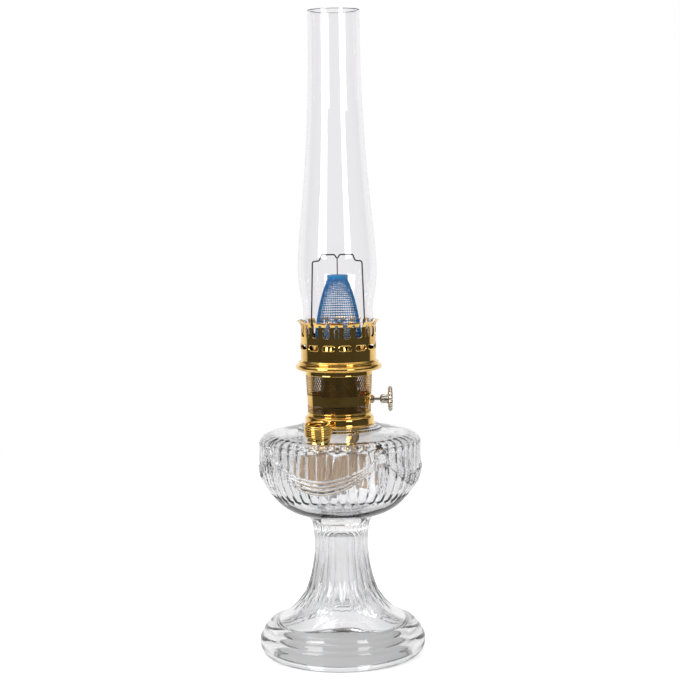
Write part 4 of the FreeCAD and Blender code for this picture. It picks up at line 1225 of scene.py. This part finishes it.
@dataclass
class Wick:
    """Cotton wick: two strips that close into a round top and hang in the font as tails."""

    top: float = 299.8
    split: float = 262.0
    tail_top: float = 214.0
    tail_foot: float = 163.6
    radius: float = 15.2
    half_turn: float = 37.5
    cloth: float = 2.1
    width: float = 30.0
    spread: float = 2.0
    fold: float = 1.6
    start: float = 12.8
    feet: tuple[Point, Point] = ((7.0, -18.0), (-25.0, -6.0))

    def strip(self, name: str, side: int, foot: Point) -> Piece:
        """One side of the wick, from its round top to the foot of its tail.

        Args:
            name: Name of the piece.
            side: 1 for the right and -1 for the left side.
            foot: Where the tail's foot hangs, in millimetres.

        Returns:
            The cloth, at the origin.
        """
        deselect()
        bpy.ops.mesh.primitive_grid_add(x_subdivisions=36, y_subdivisions=92, size=2)
        cloth = bpy.context.object
        cloth.name = name
        across, along, _ = points_of(cloth) * MM
        z = self.top + (self.tail_foot - self.top) * (1 - along) / 2

        opened = np.clip((z - self.split - 0.6) / 2.2, 0, 1)
        half = np.radians(self.half_turn + (89.5 - self.half_turn) * opened)
        round_x = side * self.radius * np.cos(across * half)
        round_y = self.radius * np.sin(across * half)

        share = np.clip((self.tail_top - z) / (self.tail_top - self.tail_foot), 0, 1)
        eased = np.sin(share * math.pi / 2)
        heading = math.pi / 2 - side * math.pi / 2 * eased
        reach = across * (self.width + self.spread * share) / 2
        wave = (self.fold * np.cos(across * 1.5 * FULL_TURN)
                + 0.35 * np.sin(z * 0.31 + across * 5) * share)
        hung_x = (side * self.start + (foot[0] - side * self.start) * eased + np.cos(heading) * reach
                  - np.sin(heading) * wave)
        hung_y = foot[1] * eased + np.sin(heading) * reach + np.cos(heading) * wave

        loose = np.clip((self.tail_top + 1 - z) / 7, 0, 1)
        loose = loose * loose * (3 - 2 * loose)
        x = round_x + (hung_x - round_x) * loose
        y = round_y + (hung_y - round_y) * loose
        z = z + loose * 0.8 * np.sin(across * 9) * share
        set_points(cloth, x, y, z)
        thicken(cloth, self.cloth, 0)
        clean(cloth)
        smooth(cloth, 50)
        return cloth

    def build(self, finishes: Finishes) -> None:
        """Models and dresses both sides of the wick."""
        right = self.strip("wick_right_cloth", 1, self.feet[0])
        settle(right, finishes.cotton, Way.WICK, "cotton_wick", "wick")
        left = self.strip("wick_left_cloth", -1, self.feet[1])
        settle(left, finishes.cotton, Way.WICK, "cotton_wick", "wick_tails")


@dataclass
class Knob:
    """Fluted hub and lobed, dished wheel that turn the wick up and down."""

    height: float = 248.7
    hub_start: float = 39.2
    hub_length: float = 8.2
    wheel_radius: float = 11.6
    lobes: int = 12

    def lay(self, obj: Piece) -> Piece:
        """Lays a piece that was made upright along the spindle."""
        return placed(obj, Matrix.Translation(Vector((0, 0, self.height)) * MM)
                      @ Matrix.Rotation(math.pi / 2, 4, "Y"))

    def build(self, finishes: Finishes) -> None:
        """Models and dresses the hub and wheel."""
        start, end = self.hub_start, self.hub_start + self.hub_length
        hub = lathe("knob_bush", outline(
            (1.35, start), (2.3, start), -0.2, (4.3, start + 3.6), (4.3, start + 6.6), 0.2,
            (3.7, start + 7.0), -0.3, (4.85, start + 7.6), (4.85, end), (0, end), (0, start + 4.2),
            (1.35, start + 4.1), pieces=6), 96, closed=False)

        def flutes(r: np.ndarray, turn: np.ndarray, z: np.ndarray) -> tuple:
            deep = np.clip((z - start - 1.2) / 1.5, 0, 1) * np.clip((start + 6.4 - z) / 0.8, 0, 1)
            return r - 0.28 * (1 + np.cos(turn * 12)) * deep * (r > 2), turn, z

        shaped(hub, flutes)
        smooth(hub, 45)
        settle(self.lay(hub), finishes.nickel, Way.KNOB, "nickel", "knob_hub")
        rim = self.wheel_radius - 2.4
        edge = self.wheel_radius - 0.2
        wheel = lathe("knob_disc", outline(
            (0, end), (4.85, end), 0.1, (rim, end + 1.2), (rim, end + 0.3), -0.25, (edge, end + 0.3),
            -0.25, (edge, end + 3.4), -0.25, (rim, end + 3.5), 0.1, (rim - 0.4, end + 2.5), -0.1,
            (4.85, end + 1.2), (0, end + 1.1), pieces=5), 144, closed=False)

        def lobed(r: np.ndarray, turn: np.ndarray, z: np.ndarray) -> tuple:
            bite = np.clip((r - rim - 0.4) / 1.6, 0, 1)
            return r - 0.75 * (np.abs(np.cos(turn * self.lobes / 2)) ** 6) * bite, turn, z

        shaped(wheel, lobed)
        smooth(wheel, 45)
        settle(self.lay(wheel), finishes.nickel, Way.KNOB, "nickel", "knob_wheel")


@dataclass
class Spreader:
    """Flame spreader over the inner tube."""

    def build(self, finishes: Finishes) -> None:
        """Models and dresses the spreader."""
        cap = lathe("spreader_thimble", outline(
            (12.65, 284.0), (13.15, 284.0), (13.15, 298.3), (13.6, 298.35), (13.6, 316.0), -0.12,
            (6.8, 321.5), (0, 321.45), (0, 321.0), (6.8, 320.9), 0.12, (12.65, 315.5)), 96)
        settle(cap, finishes.nickel, Way.SPREADER, "nickel", "flame_spreader")


@dataclass
class Studio:
    """Camera, floor, lamps and world."""

    focal: float = 1690.6            # of the photograph, in its pixels
    picture: float = 680.0
    sensor: float = 36.0
    eye: tuple[float, float, float] = (0.0016, -1.62, 0.4665)
    tilt: float = 5.647
    roll: float = -0.87
    floor_radius: float = 0.9
    floor_middle: tuple[float, float, float] = (0.0, 0.5, 0.0)
    floor_glow: float = 0.42
    back: tuple[Point, ...] = ((0.0, 0.07), (0.305, 0.07), (0.325, 0.8), (0.39, 1.0), (0.61, 1.0),
                               (0.675, 0.8), (0.695, 0.07), (1.0, 0.07))
    back_edge: tuple[float, ...] = (0.30, 0.42, 1.0, 0.12)
    sky: tuple[float, ...] = (0.55, 0.85, 0.0, 0.9)
    least_through: float = 0.38
    dimmed_through: float = -0.08
    soft_light: float = 0.62

    def camera(self) -> None:
        """Sets the camera where the photograph was taken."""
        data = bpy.data.cameras.new("camera")
        data.lens = self.focal / self.picture * self.sensor
        data.sensor_width = self.sensor
        camera = bpy.data.objects.new("camera", data)
        camera.matrix_world = (Matrix.Translation(self.eye)
                               @ Matrix.Rotation(math.radians(90 - self.tilt), 4, "X")
                               @ Matrix.Rotation(math.radians(self.roll), 4, "Z"))
        bpy.context.collection.objects.link(camera)
        bpy.context.scene.camera = camera

    def floor(self) -> None:
        """A plain pale floor that shows white and keeps the lamp's shadow."""
        deselect()
        bpy.ops.mesh.primitive_circle_add(vertices=128, radius=self.floor_radius, fill_type="NGON",
                                          location=self.floor_middle)
        floor = bpy.context.object
        floor.name = "floor"
        board = Board("pale_floor", Roughness=0.9, Specular_IOR_Level=0.0,
                      Emission_Strength=self.floor_glow)
        path = put(board.tree, "LightPath").outputs
        through = path["Is Transmission Ray"]
        board.feed("Base Color", reckon(board.tree, "MULTIPLY_ADD", through, -0.21, 0.93))
        board.feed("Emission Color",
                   reckon(board.tree, "MULTIPLY_ADD", through, 0.30, path["Is Camera Ray"]))
        floor.data.materials.append(board.material)

    def lamp(self, name: str, place: tuple, size: tuple, power: float, aim: float) -> None:
        """Adds a soft box that faces the lamp's axis.

        Args:
            name: Name of the lamp.
            place: Where it stands, in metres.
            size: Its width and height.
            power: Its power in watts.
            aim: Height of the point on the axis that it faces.
        """
        data = bpy.data.lights.new(name, "AREA")
        data.shape = "RECTANGLE"
        data.size, data.size_y = size
        data.energy = power
        box = bpy.data.objects.new(name, data)
        way = Vector((0, 0, aim)) - Vector(place)
        turned = way.to_track_quat("-Z", "Y").to_matrix().to_4x4()
        box.matrix_world = Matrix.Translation(place) @ turned
        bpy.context.collection.objects.link(box)

    def room(self, tree: Tree) -> Socket:
        """Brightness of a dim room that is lit at its back and above."""
        place = put(tree, "TexCoord").outputs["Generated"]
        parts = put(tree, "SeparateXYZ", {"Vector": place}).outputs
        turn = reckon(tree, "ARCTAN2", parts["X"], parts["Y"])
        ramp = put(tree, "ValToRGB", {"Fac": ranged(tree, turn, -math.pi, math.pi)})
        band = ramp.color_ramp.elements
        for share, _ in self.back[1:-1]:
            band.new(share)
        for element, (share, value) in zip(band, self.back):
            element.position = share
            element.color = (value, value, value, 1)
        back = reckon(tree, "MULTIPLY", ramp.outputs["Color"],
                      ranged(tree, parts["Z"], *self.back_edge))
        return reckon(tree, "MAXIMUM", back, ranged(tree, parts["Z"], *self.sky))

    def world(self) -> None:
        """White where the camera looks; glass and metal see the room."""
        world = bpy.data.worlds.new("studio")
        bpy.context.scene.world = world
        world.use_nodes = True
        tree = world.node_tree
        tree.nodes.clear()
        path = put(tree, "LightPath").outputs
        through, camera = path["Is Transmission Ray"], path["Is Camera Ray"]
        dimmed = reckon(tree, "MULTIPLY_ADD", through, self.dimmed_through, 1.0)
        shown = reckon(tree, "MAXIMUM", reckon(tree, "MULTIPLY", self.room(tree), dimmed),
                       reckon(tree, "MULTIPLY_ADD", through, self.least_through, camera))
        sharp = reckon(tree, "MAXIMUM", path["Is Glossy Ray"], through)
        looked = reckon(tree, "MAXIMUM", sharp, camera)
        seen = put(tree, "Background", {"Color": shown})
        soft = put(tree, "Background", Color=(1, 1, 1, 1), Strength=self.soft_light)
        mix = put(tree, "MixShader", {"Fac": looked})
        tree.links.new(soft.outputs["Background"], mix.inputs[1])
        tree.links.new(seen.outputs["Background"], mix.inputs[2])
        put(tree, "OutputWorld", {"Surface": mix.outputs["Shader"]})

    def build(self) -> None:
        """Sets up the whole studio."""
        bpy.context.scene.view_settings.view_transform = "Standard"
        self.camera()
        self.floor()
        self.world()
        self.lamp("box_left", (-1.13, -1.13, 0.925), (0.74, 0.95), 15, 0.925)
        self.lamp("box_right", (0.871, -1.342, 0.925), (0.507, 0.95), 10, 0.925)
        self.lamp("box_top", (-0.4, 0.2, 1.9), (1.0, 1.0), 9, 0.32)


def dress_kept(finishes: Finishes) -> None:
    """Gives the CAD nodes that still show their materials."""
    dressed = (
        # Darkened brass copy: painted shade on the parts inside the burner.
        (finishes.inner_brass, ("burner_sleeve", "burner_deck", "outer_wick_tube", "inner_wick_tube",
                                "air_ducts", "spindle_tube")),
        (finishes.steel, ("wick_carrier", "raiser_pinion", "spindle")),
        (finishes.nickel, ("packing_nut",)),
        (finishes.cork, ("spindle_packing",)),
    )
    for material, nodes in dressed:
        for node in nodes:
            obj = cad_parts[node]
            obj.data.materials.clear()
            obj.data.materials.append(material)


def main() -> None:
    """Builds the studio, the finishes and every piece in order."""
    logging.basicConfig(level=logging.INFO, format="%(message)s")
    Studio().build()
    finishes = Finishes()
    for piece in (Foot(), Font(), Filler(), Burner(), Gallery(), Mantle(), Chimney(), Wick(), Knob(),
                  Spreader()):
        LOG.info("building %s", type(piece).__name__)
        piece.build(finishes)
    dress_kept(finishes)
    bpy.context.view_layer.update()


if __name__ == "__main__":
    main()
